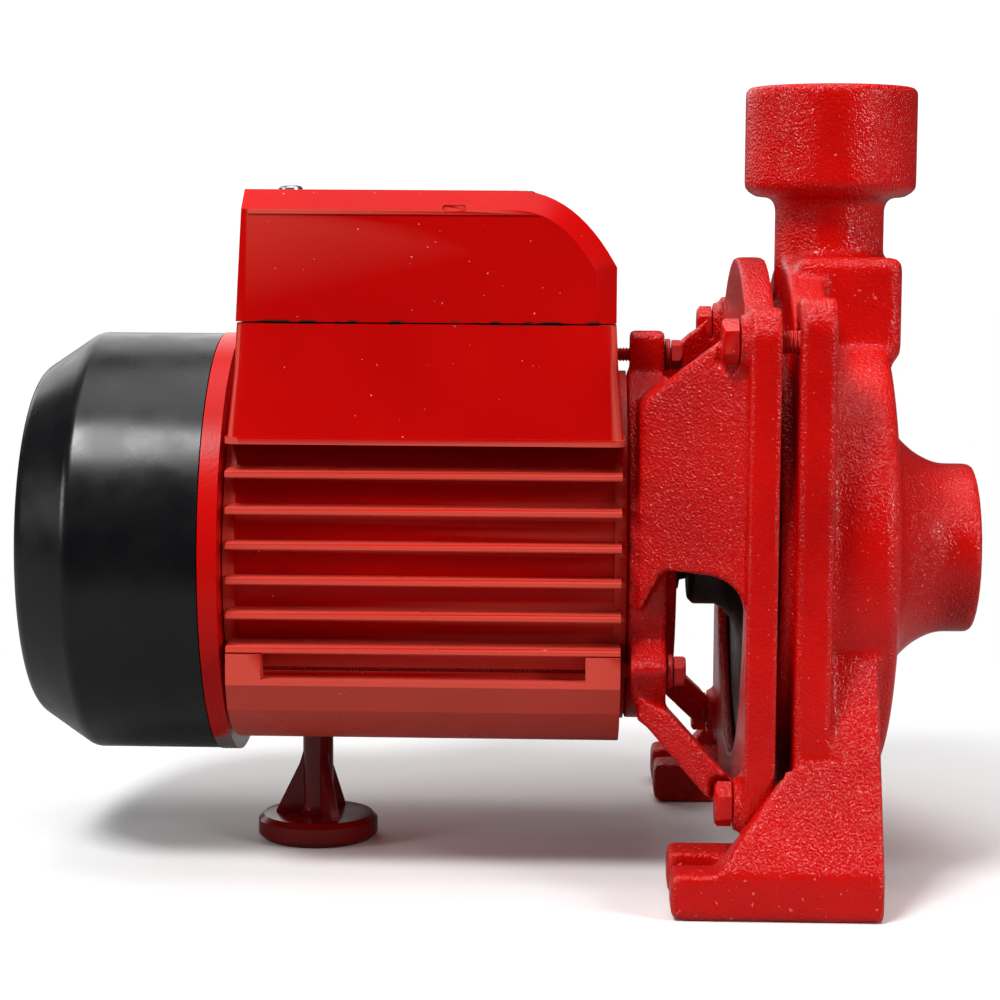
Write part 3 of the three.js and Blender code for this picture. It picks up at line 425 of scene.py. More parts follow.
# %% Building blocks of a finish
def surface(name, roughness, metallic=0.0):
    """A new material with its constant values set on the shader itself."""
    material = bpy.data.materials.new(name)
    material.use_nodes = True
    shader = material.node_tree.nodes["Principled BSDF"]
    shader.inputs["Roughness"].default_value = roughness
    shader.inputs["Metallic"].default_value = metallic
    return material, material.node_tree, shader


def noise(tree, size_mm, detail=2.0, stretch=(1.0, 1.0, 1.0)):
    """Noise whose features are about size_mm wide, in the piece's own coordinates."""
    spot = tree.nodes.new("ShaderNodeTexCoord")
    scaled = tree.nodes.new("ShaderNodeMapping")
    scaled.inputs["Scale"].default_value = stretch
    tree.links.new(spot.outputs["Object"], scaled.inputs["Vector"])
    grain = tree.nodes.new("ShaderNodeTexNoise")
    grain.inputs["Scale"].default_value = 1.0 / (size_mm * MM)
    grain.inputs["Detail"].default_value = detail
    tree.links.new(scaled.outputs["Vector"], grain.inputs["Vector"])
    return grain.outputs["Fac"]


def ranged(tree, value, low, high, to_low=0.0, to_high=1.0):
    """Stretches a value from low..high to to_low..to_high, and holds it there."""
    node = tree.nodes.new("ShaderNodeMapRange")
    node.inputs["From Min"].default_value = low
    node.inputs["From Max"].default_value = high
    node.inputs["To Min"].default_value = to_low
    node.inputs["To Max"].default_value = to_high
    tree.links.new(value, node.inputs["Value"])
    return node.outputs["Result"]


def blended(tree, mask, first, second):
    """A colour that goes from first to second with the mask."""
    node = tree.nodes.new("ShaderNodeMixRGB")
    tree.links.new(mask, node.inputs["Fac"])
    for socket, colour in (("Color1", first), ("Color2", second)):
        if isinstance(colour, tuple):
            node.inputs[socket].default_value = (*colour, 1.0)
        else:
            tree.links.new(colour, node.inputs[socket])
    return node.outputs["Color"]


def combined(tree, operation, first, second):
    """Arithmetic on two values, either of which may be a number."""
    node = tree.nodes.new("ShaderNodeMath")
    node.operation = operation
    for socket, value in zip(node.inputs, (first, second)):
        if isinstance(value, float):
            socket.default_value = value
        else:
            tree.links.new(value, socket)
    return node.outputs["Value"]


def bumped(tree, shader, height, strength, depth_mm, below=None):
    """Tilts the surface by a height, over an earlier bump if there is one."""
    node = tree.nodes.new("ShaderNodeBump")
    node.inputs["Strength"].default_value = strength
    node.inputs["Distance"].default_value = depth_mm * MM
    tree.links.new(height, node.inputs["Height"])
    if below:
        tree.links.new(below.outputs["Normal"], node.inputs["Normal"])
    tree.links.new(node.outputs["Normal"], shader.inputs["Normal"])
    return node


def part_of_place(tree, axis):
    """One coordinate of the point, in metres: X, Y or Z."""
    spot = tree.nodes.new("ShaderNodeTexCoord")
    split = tree.nodes.new("ShaderNodeSeparateXYZ")
    tree.links.new(spot.outputs["Object"], split.inputs["Vector"])
    return split.outputs[axis]


def edge_mask(tree, low, high):
    """A mask of outer edges and corners, from how sharply the mesh is bent."""
    shape = tree.nodes.new("ShaderNodeNewGeometry")
    return ranged(tree, shape.outputs["Pointiness"], low, high)


print("finish helpers: surface, noise, ranged, blended, combined, bumped")

# %% [markdown]
# ## A pale paper floor
# The floor takes the pump's soft shadow near its feet. Farther out it fades into a plain
# white glow, so that its edge doesn't show. The glow is there for the camera alone: as a
# mirror image in the enamel the paper is mid grey, which leaves the red its depth.

# %% Floor
FLOOR_HALF_WIDTH = 4.0
FLOOR_FRONT_Y = -0.30
FLOOR_BACK_Y = 6.0
FLOOR_GAP = 0.0002
GLOW_STARTS = 0.12
GLOW_FULL = 0.36
PAPER_GREY = (0.32, 0.32, 0.32)
PAPER_WHITE = (0.96, 0.96, 0.96)

near_edge = [(-FLOOR_HALF_WIDTH, FLOOR_FRONT_Y, -FLOOR_GAP), (FLOOR_HALF_WIDTH, FLOOR_FRONT_Y, -FLOOR_GAP)]
far_edge = [(FLOOR_HALF_WIDTH, FLOOR_BACK_Y, -FLOOR_GAP), (-FLOOR_HALF_WIDTH, FLOOR_BACK_Y, -FLOOR_GAP)]
floor_mesh = bpy.data.meshes.new("floor")
floor_mesh.from_pydata([*near_edge, *far_edge], [], [(0, 1, 2, 3)])
floor = bpy.data.objects.new("floor", floor_mesh)
scene.collection.objects.link(floor)
floor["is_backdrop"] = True

paper, sheet, paper_shader = surface("white_paper", 0.9)
to_camera = sheet.nodes.new("ShaderNodeLightPath").outputs["Is Camera Ray"]
tone = blended(sheet, to_camera, PAPER_GREY, PAPER_WHITE)
sheet.links.new(tone, paper_shader.inputs["Base Color"])
here = sheet.nodes.new("ShaderNodeTexCoord")
distance = sheet.nodes.new("ShaderNodeVectorMath")
distance.operation = "LENGTH"
sheet.links.new(here.outputs["Object"], distance.inputs[0])
far_out = ranged(sheet, distance.outputs["Value"], GLOW_STARTS, GLOW_FULL)
glow = sheet.nodes.new("ShaderNodeEmission")
both = sheet.nodes.new("ShaderNodeMixShader")
sheet.links.new(combined(sheet, "MULTIPLY", far_out, to_camera), both.inputs["Fac"])
sheet.links.new(paper_shader.outputs["BSDF"], both.inputs[1])
sheet.links.new(glow.outputs["Emission"], both.inputs[2])
sheet.links.new(both.outputs["Shader"], sheet.nodes["Material Output"].inputs["Surface"])
floor.data.materials.append(paper)
print("a pale floor from y =", FLOOR_FRONT_Y, "to", FLOOR_BACK_Y, "m")

# %% [markdown]
# ## Red enamel over cast iron
# Sand-cast iron keeps the grain of the sand, and thick enamel rounds that grain into an
# orange peel that sparkles under a lamp. Two noises make it: pits under a millimetre wide
# on top of a slower waviness. Hollows and creases get painted shade, a little darker red.
# Outer edges are painted lighter, partly as thin, worn paint and partly as a painted
# highlight, and a few small pale specks are scattered at random. The broad flat sides were
# rubbed down before painting, so the grain is weaker where the surface faces sideways.

# %% Cast red
RED_DEEP = (0.54, 0.0015, 0.001)
RED_BRIGHT = (0.76, 0.004, 0.002)
# Pale red for scattered specks, and for lighter outer edges that are partly thin, worn paint and partly a
# painted highlight.
PALE_RED_SPECK_AND_HIGHLIGHT = (0.95, 0.20, 0.14)


def cast_enamel(name, grain_mm=0.66, grain_strength=1.0):
    """Glossy red enamel on a grained casting."""
    material, tree, shader = surface(name, 0.2)
    shader.inputs["Specular IOR Level"].default_value = 0.36
    tone = blended(tree, ranged(tree, noise(tree, 26.0, 3.0), 0.25, 0.75), RED_DEEP, RED_BRIGHT)
    # Painted shade: the colour is darkened in hollows and creases, where the mesh bends inwards.
    painted_crevice_shade = edge_mask(tree, 0.485, 0.455)
    tone = blended(tree, combined(tree, "MULTIPLY", painted_crevice_shade, 0.5), tone, (0.24, 0.001, 0.001))
    specks = ranged(tree, noise(tree, 1.3, 1.0), 0.735, 0.76)
    tone = blended(tree, combined(tree, "MULTIPLY", specks, 0.7), tone, PALE_RED_SPECK_AND_HIGHLIGHT)
    # Outer edges lighter: partly thin, worn paint, partly a painted highlight.
    worn_edge_and_painted_highlight = edge_mask(tree, 0.535, 0.585)
    tone = blended(tree, combined(tree, "MULTIPLY", worn_edge_and_painted_highlight, 0.35), tone, PALE_RED_SPECK_AND_HIGHLIGHT)
    tree.links.new(tone, shader.inputs["Base Color"])
    tree.links.new(ranged(tree, noise(tree, 7.0), 0.2, 0.8, 0.14, 0.28), shader.inputs["Roughness"])
    waves = bumped(tree, shader, noise(tree, 8.0, 1.0), 0.2, 0.5)
    peel = ranged(tree, noise(tree, grain_mm, 1.0), 0.36, 0.64)
    grain = bumped(tree, shader, peel, grain_strength, 0.2, waves)
    shape = tree.nodes.new("ShaderNodeNewGeometry")
    split = tree.nodes.new("ShaderNodeSeparateXYZ")
    tree.links.new(shape.outputs["Normal"], split.inputs["Vector"])
    sideways = combined(tree, "ABSOLUTE", split.outputs["Y"], 0.0)
    machined = ranged(tree, sideways, 0.86, 0.99, grain_strength, grain_strength * 0.45)
    tree.links.new(machined, grain.inputs["Strength"])
    return material


cast_red = cast_enamel("cast_red_enamel")
bolt_red = cast_enamel("bolt_red_enamel", 1.1, 0.35)
print("made", cast_red.name, "and", bolt_red.name)

# %% [markdown]
# ## Smooth red enamel
# The motor shell is die-cast aluminium, far smoother than sand-cast iron, so the same red
# lies flatter on it. Its life shows at the joint of the terminal box, where the paint
# cracked and chipped when the lid was first lifted. A thin band of noise at that height
# lets the dark metal through.

# %% Housing red and box joint
SEAM_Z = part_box("terminal_box_cover")[0].z
BAND = 0.8 * MM


def housing_enamel(name):
    """Smooth red enamel, chipped along the box joint."""
    material, tree, shader = surface(name, 0.3)
    shader.inputs["Specular IOR Level"].default_value = 0.1
    cloudy = ranged(tree, noise(tree, 45.0, 2.0), 0.1, 0.9)
    tone = blended(tree, cloudy, (0.48, 0.001, 0.001), (0.66, 0.003, 0.002))
    # Outer edges lighter: partly thin, worn paint, partly a painted highlight.
    worn_edge_and_painted_highlight = edge_mask(tree, 0.54, 0.62)
    tone = blended(tree, combined(tree, "MULTIPLY", worn_edge_and_painted_highlight, 0.4), tone, PALE_RED_SPECK_AND_HIGHLIGHT)
    dust = ranged(tree, noise(tree, 0.8, 1.0), 0.80, 0.82)
    tone = blended(tree, dust, tone, (0.9, 0.55, 0.5))
    off_seam = combined(tree, "ABSOLUTE", combined(tree, "SUBTRACT", part_of_place(tree, "Z"), SEAM_Z), 0.0)
    near_seam = ranged(tree, off_seam, BAND, BAND * 0.3)
    chips = ranged(tree, noise(tree, 2.4, 3.0, (0.35, 1.0, 1.0)), 0.53, 0.57)
    tone = blended(tree, combined(tree, "MULTIPLY", near_seam, chips), tone, (0.035, 0.012, 0.01))
    tree.links.new(tone, shader.inputs["Base Color"])
    tree.links.new(ranged(tree, noise(tree, 12.0), 0.1, 0.9, 0.24, 0.36), shader.inputs["Roughness"])
    waves = bumped(tree, shader, noise(tree, 14.0, 1.0), 0.2, 0.35)
    bumped(tree, shader, noise(tree, 0.7, 2.0), 0.16, 0.1, waves)
    return material


housing_red = housing_enamel("housing_red_enamel")
print("made", housing_red.name, "with chips at", round(SEAM_Z, 4), "m")

# %% [markdown]
# ## Moulded plastics and rubber
# The fan cover is satin black polypropylene: a fine etched texture from the mould, and
# faint rubbing. The support foot is a shinier dark red plastic with almost no texture.
# Rubber is matt and slightly dusty. The same steps serve the glazed ceramic of the seal.

# %% Plastics
def plastic(name, dark, light, roughness, texture_mm, strength):
    """A moulded plastic or rubber with an etched texture and faint rubbing."""
    material, tree, shader = surface(name, roughness)
    shader.inputs["Specular IOR Level"].default_value = 0.34
    rubbed = ranged(tree, noise(tree, 18.0, 4.0), 0.42, 0.72)
    tree.links.new(blended(tree, rubbed, dark, light), shader.inputs["Base Color"])
    uneven = ranged(tree, noise(tree, 11.0, 3.0), 0.3, 0.7, roughness - 0.05, roughness + 0.07)
    tree.links.new(uneven, shader.inputs["Roughness"])
    bumped(tree, shader, noise(tree, texture_mm, 1.0), strength, 0.06)
    return material


black_plastic = plastic("satin_black_plastic", (0.004, 0.004, 0.005), (0.008, 0.008, 0.009), 0.27, 0.35, 0.1)
foot_plastic = plastic("glossy_red_plastic", (0.16, 0.001, 0.001), (0.23, 0.002, 0.002), 0.2, 1.2, 0.05)
rubber = plastic("black_rubber", (0.012, 0.012, 0.012), (0.03, 0.03, 0.029), 0.75, 0.4, 0.3)
ceramic = plastic("seat_ceramic", (0.72, 0.70, 0.64), (0.80, 0.78, 0.73), 0.18, 0.8, 0.03)
print("made three moulded finishes and a ceramic one")

# %% [markdown]
# ## Bare metals
# Bare steel is never one grey: turning leaves fine rings, handling leaves stains. A noise
# stretched across the axis makes the rings, a slow one makes the stains. The seal plate is
# dark unpainted iron that caught red overspray through the windows, so its red lies in
# drifts of small dots.

# %% Metals
def metal(name, dark, light, roughness, grain=(1.0, 1.0, 1.0), strength=0.15):
    """A bare metal with tool marks along the given grain and faint stains."""
    material, tree, shader = surface(name, roughness, metallic=1.0)
    stains = ranged(tree, noise(tree, 7.0, 4.0), 0.35, 0.7)
    tree.links.new(blended(tree, stains, dark, light), shader.inputs["Base Color"])
    uneven = ranged(tree, noise(tree, 3.0, 3.0), 0.3, 0.7, roughness - 0.08, roughness + 0.1)
    tree.links.new(uneven, shader.inputs["Roughness"])
    bumped(tree, shader, noise(tree, 0.8, 2.0, grain), strength, 0.05)
    return material


RINGS = (6.0, 0.6, 0.6)
steel = metal("turned_steel", (0.36, 0.36, 0.37), (0.55, 0.55, 0.56), 0.32, RINGS)
laminations = metal("stacked_laminations", (0.16, 0.16, 0.17), (0.27, 0.27, 0.28), 0.45, RINGS, 0.3)
copper = metal("varnished_copper", (0.45, 0.16, 0.06), (0.60, 0.26, 0.11), 0.35, (1.0, 5.0, 5.0), 0.5)
brass = metal("cast_brass", (0.50, 0.33, 0.12), (0.72, 0.52, 0.24), 0.34, strength=0.3)
aluminium = metal("drawn_aluminium", (0.60, 0.60, 0.62), (0.75, 0.75, 0.77), 0.34, (0.4, 4.0, 4.0))


def oversprayed(name, under, cover_low, cover_high, metallic, dot_low=0.44):
    """A dark metal with drifts of red overspray."""
    material, tree, shader = surface(name, 0.48, metallic=metallic)
    drift = ranged(tree, noise(tree, 16.0, 2.0), cover_low, cover_high)
    dots = ranged(tree, noise(tree, 0.8, 2.0), dot_low, dot_low + 0.06)
    tone = blended(tree, combined(tree, "MULTIPLY", drift, dots), under, (0.52, 0.005, 0.003))
    tree.links.new(tone, shader.inputs["Base Color"])
    tree.links.new(ranged(tree, noise(tree, 5.0), 0.3, 0.7, 0.38, 0.6), shader.inputs["Roughness"])
    bumped(tree, shader, noise(tree, 0.9, 2.0), 0.5, 0.2)
    return material


dark_iron = oversprayed("oversprayed_iron", (0.055, 0.056, 0.06), 0.50, 0.78, 0.3)
tie_steel = oversprayed("oversprayed_tie_steel", (0.16, 0.03, 0.03), 0.0, 0.2, 0.1, 0.3)
print("made seven metals")

# %% [markdown]
# ## Giving a piece its finish
# Each new piece rides on a body of the frame, takes the place of a CAD node and gets its
# material. Doing that in one call means none is forgotten.

# %% Finishing calls
def dressed(obj, material):
    """Puts one material on the whole piece."""
    obj.data.materials.clear()
    obj.data.materials.append(material)
    return obj


def stands_for(obj, node, material, body="pump_body"):
    """The piece rides on the body and takes the place of a CAD node."""
    dressed(obj, material)
    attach(obj, body)
    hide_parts(node)
    return obj


print("finishing calls are ready")

# %% [markdown]
# ## The fan cover
# A moulded cup of plastic with an air grille of radial slots. It is turned from a profile
# with thick walls, so that the slots show their depth, and the slots are cut as tapered
# bars all round the axis.

# %% Fan cover
COVER_RIM_X = -94.3
COVER_CREASE_X = -127.8
COVER_CONE_X = -141.6
COVER_END_X = -143.0
COVER_RADIUS = 56.5
COVER_CONE_RADIUS = 47.2
COVER_END_RADIUS = 45.0
COVER_WALL = 2.2
COVER_SLOTS = 18

cover_outside = eased_line(
    [
        (COVER_RIM_X, COVER_RADIUS),
        (COVER_CREASE_X, COVER_RADIUS),
        (COVER_CONE_X, COVER_CONE_RADIUS),
        (COVER_END_X, COVER_END_RADIUS),
        (COVER_END_X, 0.0),
    ],
    1.6,
)
cover_inside = [
    (COVER_END_X + COVER_WALL, 0.0),
    (COVER_END_X + COVER_WALL, COVER_END_RADIUS - COVER_WALL),
    (COVER_CREASE_X, COVER_RADIUS - COVER_WALL),
    (COVER_RIM_X, COVER_RADIUS - COVER_WALL),
]
cover_profile = [*cover_outside, *cover_inside, cover_outside[0]]
fan_cover = turned("fan_cover_moulding", cover_profile, steps=192)
slot_bar = rounded([(15.0, 1.26), (41.0, 2.1), (41.0, -2.1), (15.0, -1.26)], 1.0)
slots = []
for index in range(COVER_SLOTS):
    outline = swung(slot_bar, 360.0 * index / COVER_SLOTS)
    slots.append(prism("slot", outline, COVER_END_X - 2, COVER_END_X + 4))
shaped(fan_cover, removed=slots)
crisp(fan_cover, 0.25)
stands_for(fan_cover, "fan_cover", black_plastic)
print("fan cover:", len(fan_cover.data.polygons), "faces,", COVER_SLOTS, "slots")

# %% [markdown]
# ## The end shield
# The thin ring between the fan cover and the motor shell is the rim of a disc that holds
# the rear bearing. It is turned in one go from its section. The paint on the rim is thin,
# and its lowest part was masked, so bare grey metal shows there.

# %% End shield
TIE_TURNS = (90.0, 212.0, 328.0)
TIE_CIRCLE = 51.6
TIE_HOLE_RADIUS = 2.3
tie_spots = [swung([(TIE_CIRCLE, 0.0)], degrees)[0] for degrees in TIE_TURNS]

end_shield = turned(
    "end_shield_casting",
    [
        (-94.0, 8.0), (-94.0, 56.7), (-89.2, 56.7), (-89.2, 43.7), (-84.5, 43.7),
        (-84.5, 40.5), (-89.2, 40.5), (-89.2, 20.5), (-78.6, 20.5), (-78.6, 16.0),
        (-89.0, 16.0), (-89.0, 8.0), (-94.0, 8.0),
    ],
    steps=192,
)
taps = [prism("tap", circle(*spot, TIE_HOLE_RADIUS), -92.3, -80.0) for spot in tie_spots]
shaped(end_shield, removed=taps)
crisp(end_shield, 0.5)


def shield_enamel(name):
    """Thin red enamel that stops short of the lowest part of the rim."""
    material, tree, shader = surface(name, 0.3)
    shader.inputs["Specular IOR Level"].default_value = 0.15
    ragged = ranged(tree, noise(tree, 5.0, 3.0), 0.2, 0.8, -0.004, 0.004)
    edge = combined(tree, "ADD", part_of_place(tree, "Z"), ragged)
    bare = ranged(tree, edge, 0.034, 0.031)
    tone = blended(tree, bare, (0.62, 0.003, 0.002), (0.33, 0.31, 0.30))
    tree.links.new(tone, shader.inputs["Base Color"])
    tree.links.new(combined(tree, "MULTIPLY", bare, 0.7), shader.inputs["Metallic"])
    bumped(tree, shader, noise(tree, 1.0, 2.0), 0.3, 0.12)
    return material


stands_for(end_shield, "rear_end_shield", shield_enamel("shield_enamel"))
print("end shield:", len(end_shield.data.polygons), "faces")

# %% [markdown]
# ## The motor shell
# One die casting carries the cooling fins, the trough under them and the seat of the
# terminal box. Seen from the end it is one outline, so most of it is that outline pulled
# along the shaft: a round core, fins to a flat plane on both sides and a trough below.

# %% Motor shell
SHELL_BACK_X = -88.9
SHELL_FRONT_X = 14.1
FIN_BACK_X = -87.4
FIN_FRONT_X = 12.6
SHELL_HALF_WIDTH = 53.0
CORE_RADIUS = 46.8
BORE_RADIUS = 44.0
FIN_LEVELS = (22.9, 13.6, 4.7, -4.2, -13.0, -21.7)
FIN_THICKNESS = 1.9
FIN_ROOT = 30.0
TROUGH = (
    (-53.4, -22.65), (-53.4, -30.6), (-49.8, -37.6), (-42.0, -43.4), (-31.0, -47.8),
    (-24.0, -49.5),
)

END_BAND_RADIUS = 47.2
back_band = [(SHELL_BACK_X, BORE_RADIUS), (SHELL_BACK_X, END_BAND_RADIUS), (-85.9, END_BAND_RADIUS)]
core = [(-85.9, CORE_RADIUS), (11.0, CORE_RADIUS)]
front_band = [(11.0, END_BAND_RADIUS), (SHELL_FRONT_X, END_BAND_RADIUS), (SHELL_FRONT_X, BORE_RADIUS)]
shell = turned("motor_shell", [*back_band, *core, *front_band, back_band[0]], steps=160)
bore = prism("bore", circle(0.0, 0.0, BORE_RADIUS - 0.02, 160), -100.0, 30.0)
fins = []
for level in FIN_LEVELS:
    low = level - FIN_THICKNESS / 2
    high = level + FIN_THICKNESS / 2
    half = SHELL_HALF_WIDTH
    lower_edge = [(FIN_ROOT, low - 0.7), (half - 1.0, low), (half, low + 0.45)]
    upper_edge = [(half, high - 0.45), (half - 1.0, high), (FIN_ROOT, high + 0.7)]
    for side in (-1, 1):
        fin_outline = [(side * y, z) for y, z in (*lower_edge, *upper_edge)]
        fins.append(prism("fin", fin_outline, FIN_BACK_X, FIN_FRONT_X))
trough_outline = [*TROUGH, *[(-y, z) for y, z in reversed(TROUGH)]]
trough = prism("trough", trough_outline, FIN_BACK_X, FIN_FRONT_X)
shaped(shell, joined=[*fins, trough], removed=[bore])
print("shell:", len(fins), "fin halves on a core of", CORE_RADIUS, "mm radius")

# %% [markdown]
# The seat of the terminal box flares towards its foot, so it is lofted through three
# outlines, each a little smaller than the one below. A tray and two pockets hollow it for
# the wiring, and a thin lip runs round its foot where the two halves of the die met.

# %% Seat of the terminal box
SEAT_BACK_X = -85.0
SEAT_FRONT_X = 10.8
SEAT_HALF_WIDTH = 50.0
SEAT_LOW_Z = 32.0
SEAT_HIGH_Z = 60.9
TRAY_Z = 56.0
POCKET_Z = 48.6
BOX_SCREW_SPOTS = ((-74.3, -20.0), (-14.0, 30.0))
POST_RADIUS = 4.6
SCREW_HOLE_RADIUS = 2.2

foot_outline = rounded(rectangle(SEAT_BACK_X - 2.2, SEAT_FRONT_X + 2.2, -53.2, 53.2), 4.0)
waist_outline = rounded(rectangle(SEAT_BACK_X, SEAT_FRONT_X, -SEAT_HALF_WIDTH, SEAT_HALF_WIDTH), 4.0)
middle_outline = [((a + 3 * c) / 4, (b + 3 * d) / 4) for (a, b), (c, d) in zip(foot_outline, waist_outline)]
levels = [(SEAT_LOW_Z, foot_outline), (SEAT_LOW_Z + 18.0, middle_outline), (SEAT_HIGH_Z, waist_outline)]
seat = lofted("seat", levels, along="z")
lip = prism("lip", rounded(rectangle(-87.7, 13.3, -53.7, 53.7), 4.0), 30.7, 32.4, along="z")
tray = block("tray", -81.5, 7.3, -46.5, 46.5, TRAY_Z, 62.0)
pockets = [block("near_pocket", -79.5, 5.3, -44.5, -8.0, POCKET_Z, 60.0)]
pockets.append(block("far_pocket", -79.5, 5.3, 8.0, 44.5, POCKET_Z, 60.0))
pockets.append(prism("wire_way", circle(-69.5, 30.0, 4.0, 24), 20.0, 60.0, along="z"))
posts = []
holes = []
for spot in BOX_SCREW_SPOTS:
    posts.append(prism("post", circle(*spot, POST_RADIUS, 32), 47.0, SEAT_HIGH_Z, along="z"))
    holes.append(prism("screw_hole", circle(*spot, SCREW_HOLE_RADIUS, 24), POCKET_Z, 62.0, along="z"))
holes.append(prism("socket", circle(-69.3, 0.0, 3.15, 32), -54.0, -43.0, along="z"))
holes += [prism("tie_hole", circle(*spot, TIE_HOLE_RADIUS, 24), -90.0, 16.0) for spot in tie_spots]
for low, high in ((-55.0, -46.0), (46.0, 55.0)):
    holes.append(block("trough_recess", -78.6, 3.8, low, high, -29.2, TROUGH[0][1]))
holes.append(prism("bore_again", circle(0.0, 0.0, BORE_RADIUS - 0.02, 160), -100.0, 30.0))
shaped(shell, joined=[seat, lip], removed=[tray, *pockets])
shaped(shell, joined=posts, removed=holes)
crisp(shell, 0.35, 20.0)
stands_for(shell, "motor_housing", housing_red)
print("motor shell:", len(shell.data.polygons), "faces")

# %% [markdown]
# ## The terminal box cover
# The lid is an extruded side outline with a slanted shoulder along both long edges and a
# rounded front, and it leans in a little so that it leaves the mould. The same outline
# moved inwards makes the room inside. A shallow ledge along each shoulder and one small
# notch are the traces of the mould.

# %% Terminal box cover
LID_SEAM_Z = 61.3
LID_SIDE_TOP_Z = 89.4
LID_BEVEL = 5.0
LID_WALL = 3.0

lid_side = [(-90.0, 51.3), (5.8, 51.3)]
for k in range(13):
    t = k / 12
    across = 5.8 * (1 - t) ** 2 + -3.0 * 2 * t * (1 - t) + -14.6 * t**2
    up = 74.0 * (1 - t) ** 2 + LID_SIDE_TOP_Z * 2 * t * (1 - t) + LID_SIDE_TOP_Z * t**2
    lid_side.append((across, up))
lid_side.append((-90.0, LID_SIDE_TOP_Z))
lid_top = shrunk(lid_side, -LID_BEVEL)
lid = prism("box_lid", lid_top, -SEAT_HALF_WIDTH, SEAT_HALF_WIDTH, along="y", ease=LID_BEVEL)
lean = [(-85.0, 60.3), (11.2, 60.3), (11.0, 200.0), (-77.0, 200.0)]
trim = prism("trim", lean, -50.0, 50.0, along="y")
above = prism("above", rounded(rectangle(-85.5, 12.0, -50.0, 50.0), 3.0), LID_SEAM_Z, 99.0, along="z")
room_half = SEAT_HALF_WIDTH - LID_WALL
room = prism("room", shrunk(lid_top, LID_WALL), -room_half, room_half, along="y", ease=LID_BEVEL)
room_trim = block("room_trim", -82.0, 7.8, -room_half, room_half, 40.0, 99.0)
shaped(room, kept=[room_trim])
lid_holes = []
for spot in BOX_SCREW_SPOTS:
    lid_holes.append(prism("lid_hole", circle(*spot, SCREW_HOLE_RADIUS, 24), 60.0, 99.0, along="z"))
shaped(lid, kept=[trim, above], removed=[room, *lid_holes])
ledge_side = shrunk(lid_top, LID_BEVEL + 0.1)
ledge = prism("ledge", ledge_side, -SEAT_HALF_WIDTH - 0.3, SEAT_HALF_WIDTH + 0.3, along="y")
shaped(ledge, kept=[block("ledge_reach", -81.6, 1.5, -50.3, 50.3, 88.2, 95.0)])
notch_outline = rounded(rectangle(-33.0, -27.0, 89.0, 90.6), 0.7)
shaped(lid, joined=[ledge], removed=[prism("mould_notch", notch_outline, -55.0, -48.6, along="y")])
crisp(lid, 0.7)
stands_for(lid, "terminal_box_cover", housing_red)
print("box lid:", len(lid.data.polygons), "faces")

# %% [markdown]
# ## Box screws and cable gland
# The screws have a low domed head and a slot that breaks through its edge. The gland is
# on the far side: a hexagon against the box, a nut and a soft sleeve, with the hole for
# the cable through all of them.

# %% Screws and gland
screw_shank = [(50.6, 0.0), (50.6, 1.9), (94.7, 1.9)]
screw_head = [(94.7, 3.2), (95.3, 3.1), (95.7, 2.7), (95.95, 1.9), (96.0, 0.0)]
for index, (x, y) in enumerate(BOX_SCREW_SPOTS, start=1):
    screw = turned(f"lid_screw_{index}", [*screw_shank, *screw_head], (x, y), upright=True, steps=48)
    shaped(screw, removed=[block("slot", x - 4, x + 4, y - 0.4, y + 0.4, 95.3, 97.0)])
    crisp(screw, 0.12)
    stands_for(screw, f"box_screw_{index}", steel)

GLAND_X = -34.0
GLAND_Z = 46.5
gland = prism("gland_body", hexagon(GLAND_X, GLAND_Z, 22.0), 53.4, 57.4, along="y", ease=0.5)
gland_parts = [
    prism("gland_neck", circle(GLAND_X, GLAND_Z, 9.2), 56.0, 61.4, along="y"),
    prism("gland_nut", hexagon(GLAND_X, GLAND_Z, 18.4, 0.3), 60.4, 66.4, along="y", ease=0.6),
    prism("gland_sleeve", circle(GLAND_X, GLAND_Z, 8.2), 65.0, 68.4, along="y", ease=0.8),
]
cable_hole = prism("cable_hole", circle(GLAND_X, GLAND_Z, 4.6), 50.0, 70.0, along="y")
shaped(gland, joined=gland_parts, removed=[cable_hole])
crisp(gland, 0.25)
stands_for(gland, "cable_gland", black_plastic)
print("two lid screws and a gland")

# %% [markdown]
# ## Bolts
# A forged hexagon head has a turned crown: the corners are cut by a cone. Meeting a hexagon
# prism with a turned blank gives that crown at once. The thread is a sawtooth profile,
# turned like the rest of the shank, which is enough at this size.

# %% Bolts and washers
def bolt(name, spot, head_low, head_high, flats, turn, shank_radius, shank_end, crown_low, thread_pitch=0.0):
    """A hexagon bolt along x: crowned head, shank and, if asked, a thread."""
    y, z = spot
    corner = flats / math.sqrt(3)
    head = prism(f"{name}_head", hexagon(y, z, flats, turn), head_low, head_high)
    flat_end, crown_end = (head_high, head_low) if crown_low else (head_low, head_high)
    inward = 0.9 if crown_low else -0.9
    rim = corner * 1.02
    crown = [(flat_end, 0.0), (flat_end, rim), (crown_end + inward, rim)]
    crown += [(crown_end, flats * 0.47), (crown_end, 0.0)]
    shaped(head, kept=[turned("crown", crown, spot, steps=72)])
    start = (head_low + head_high) / 2
    profile = [(start, 0.0), (start, shank_radius)]
    step = 1 if shank_end > start else -1
    threads = int(abs(shank_end - start) / thread_pitch) if thread_pitch else 0
    for k in range(3, threads):
        along = start + step * k * thread_pitch
        profile.append((along, shank_radius))
        profile.append((along + step * thread_pitch / 2, shank_radius - thread_pitch * 0.5))
    profile += [(shank_end, shank_radius - 0.4), (shank_end, 0.0)]
    return shaped(head, joined=[turned(f"{name}_shank", profile, spot, steps=28)])


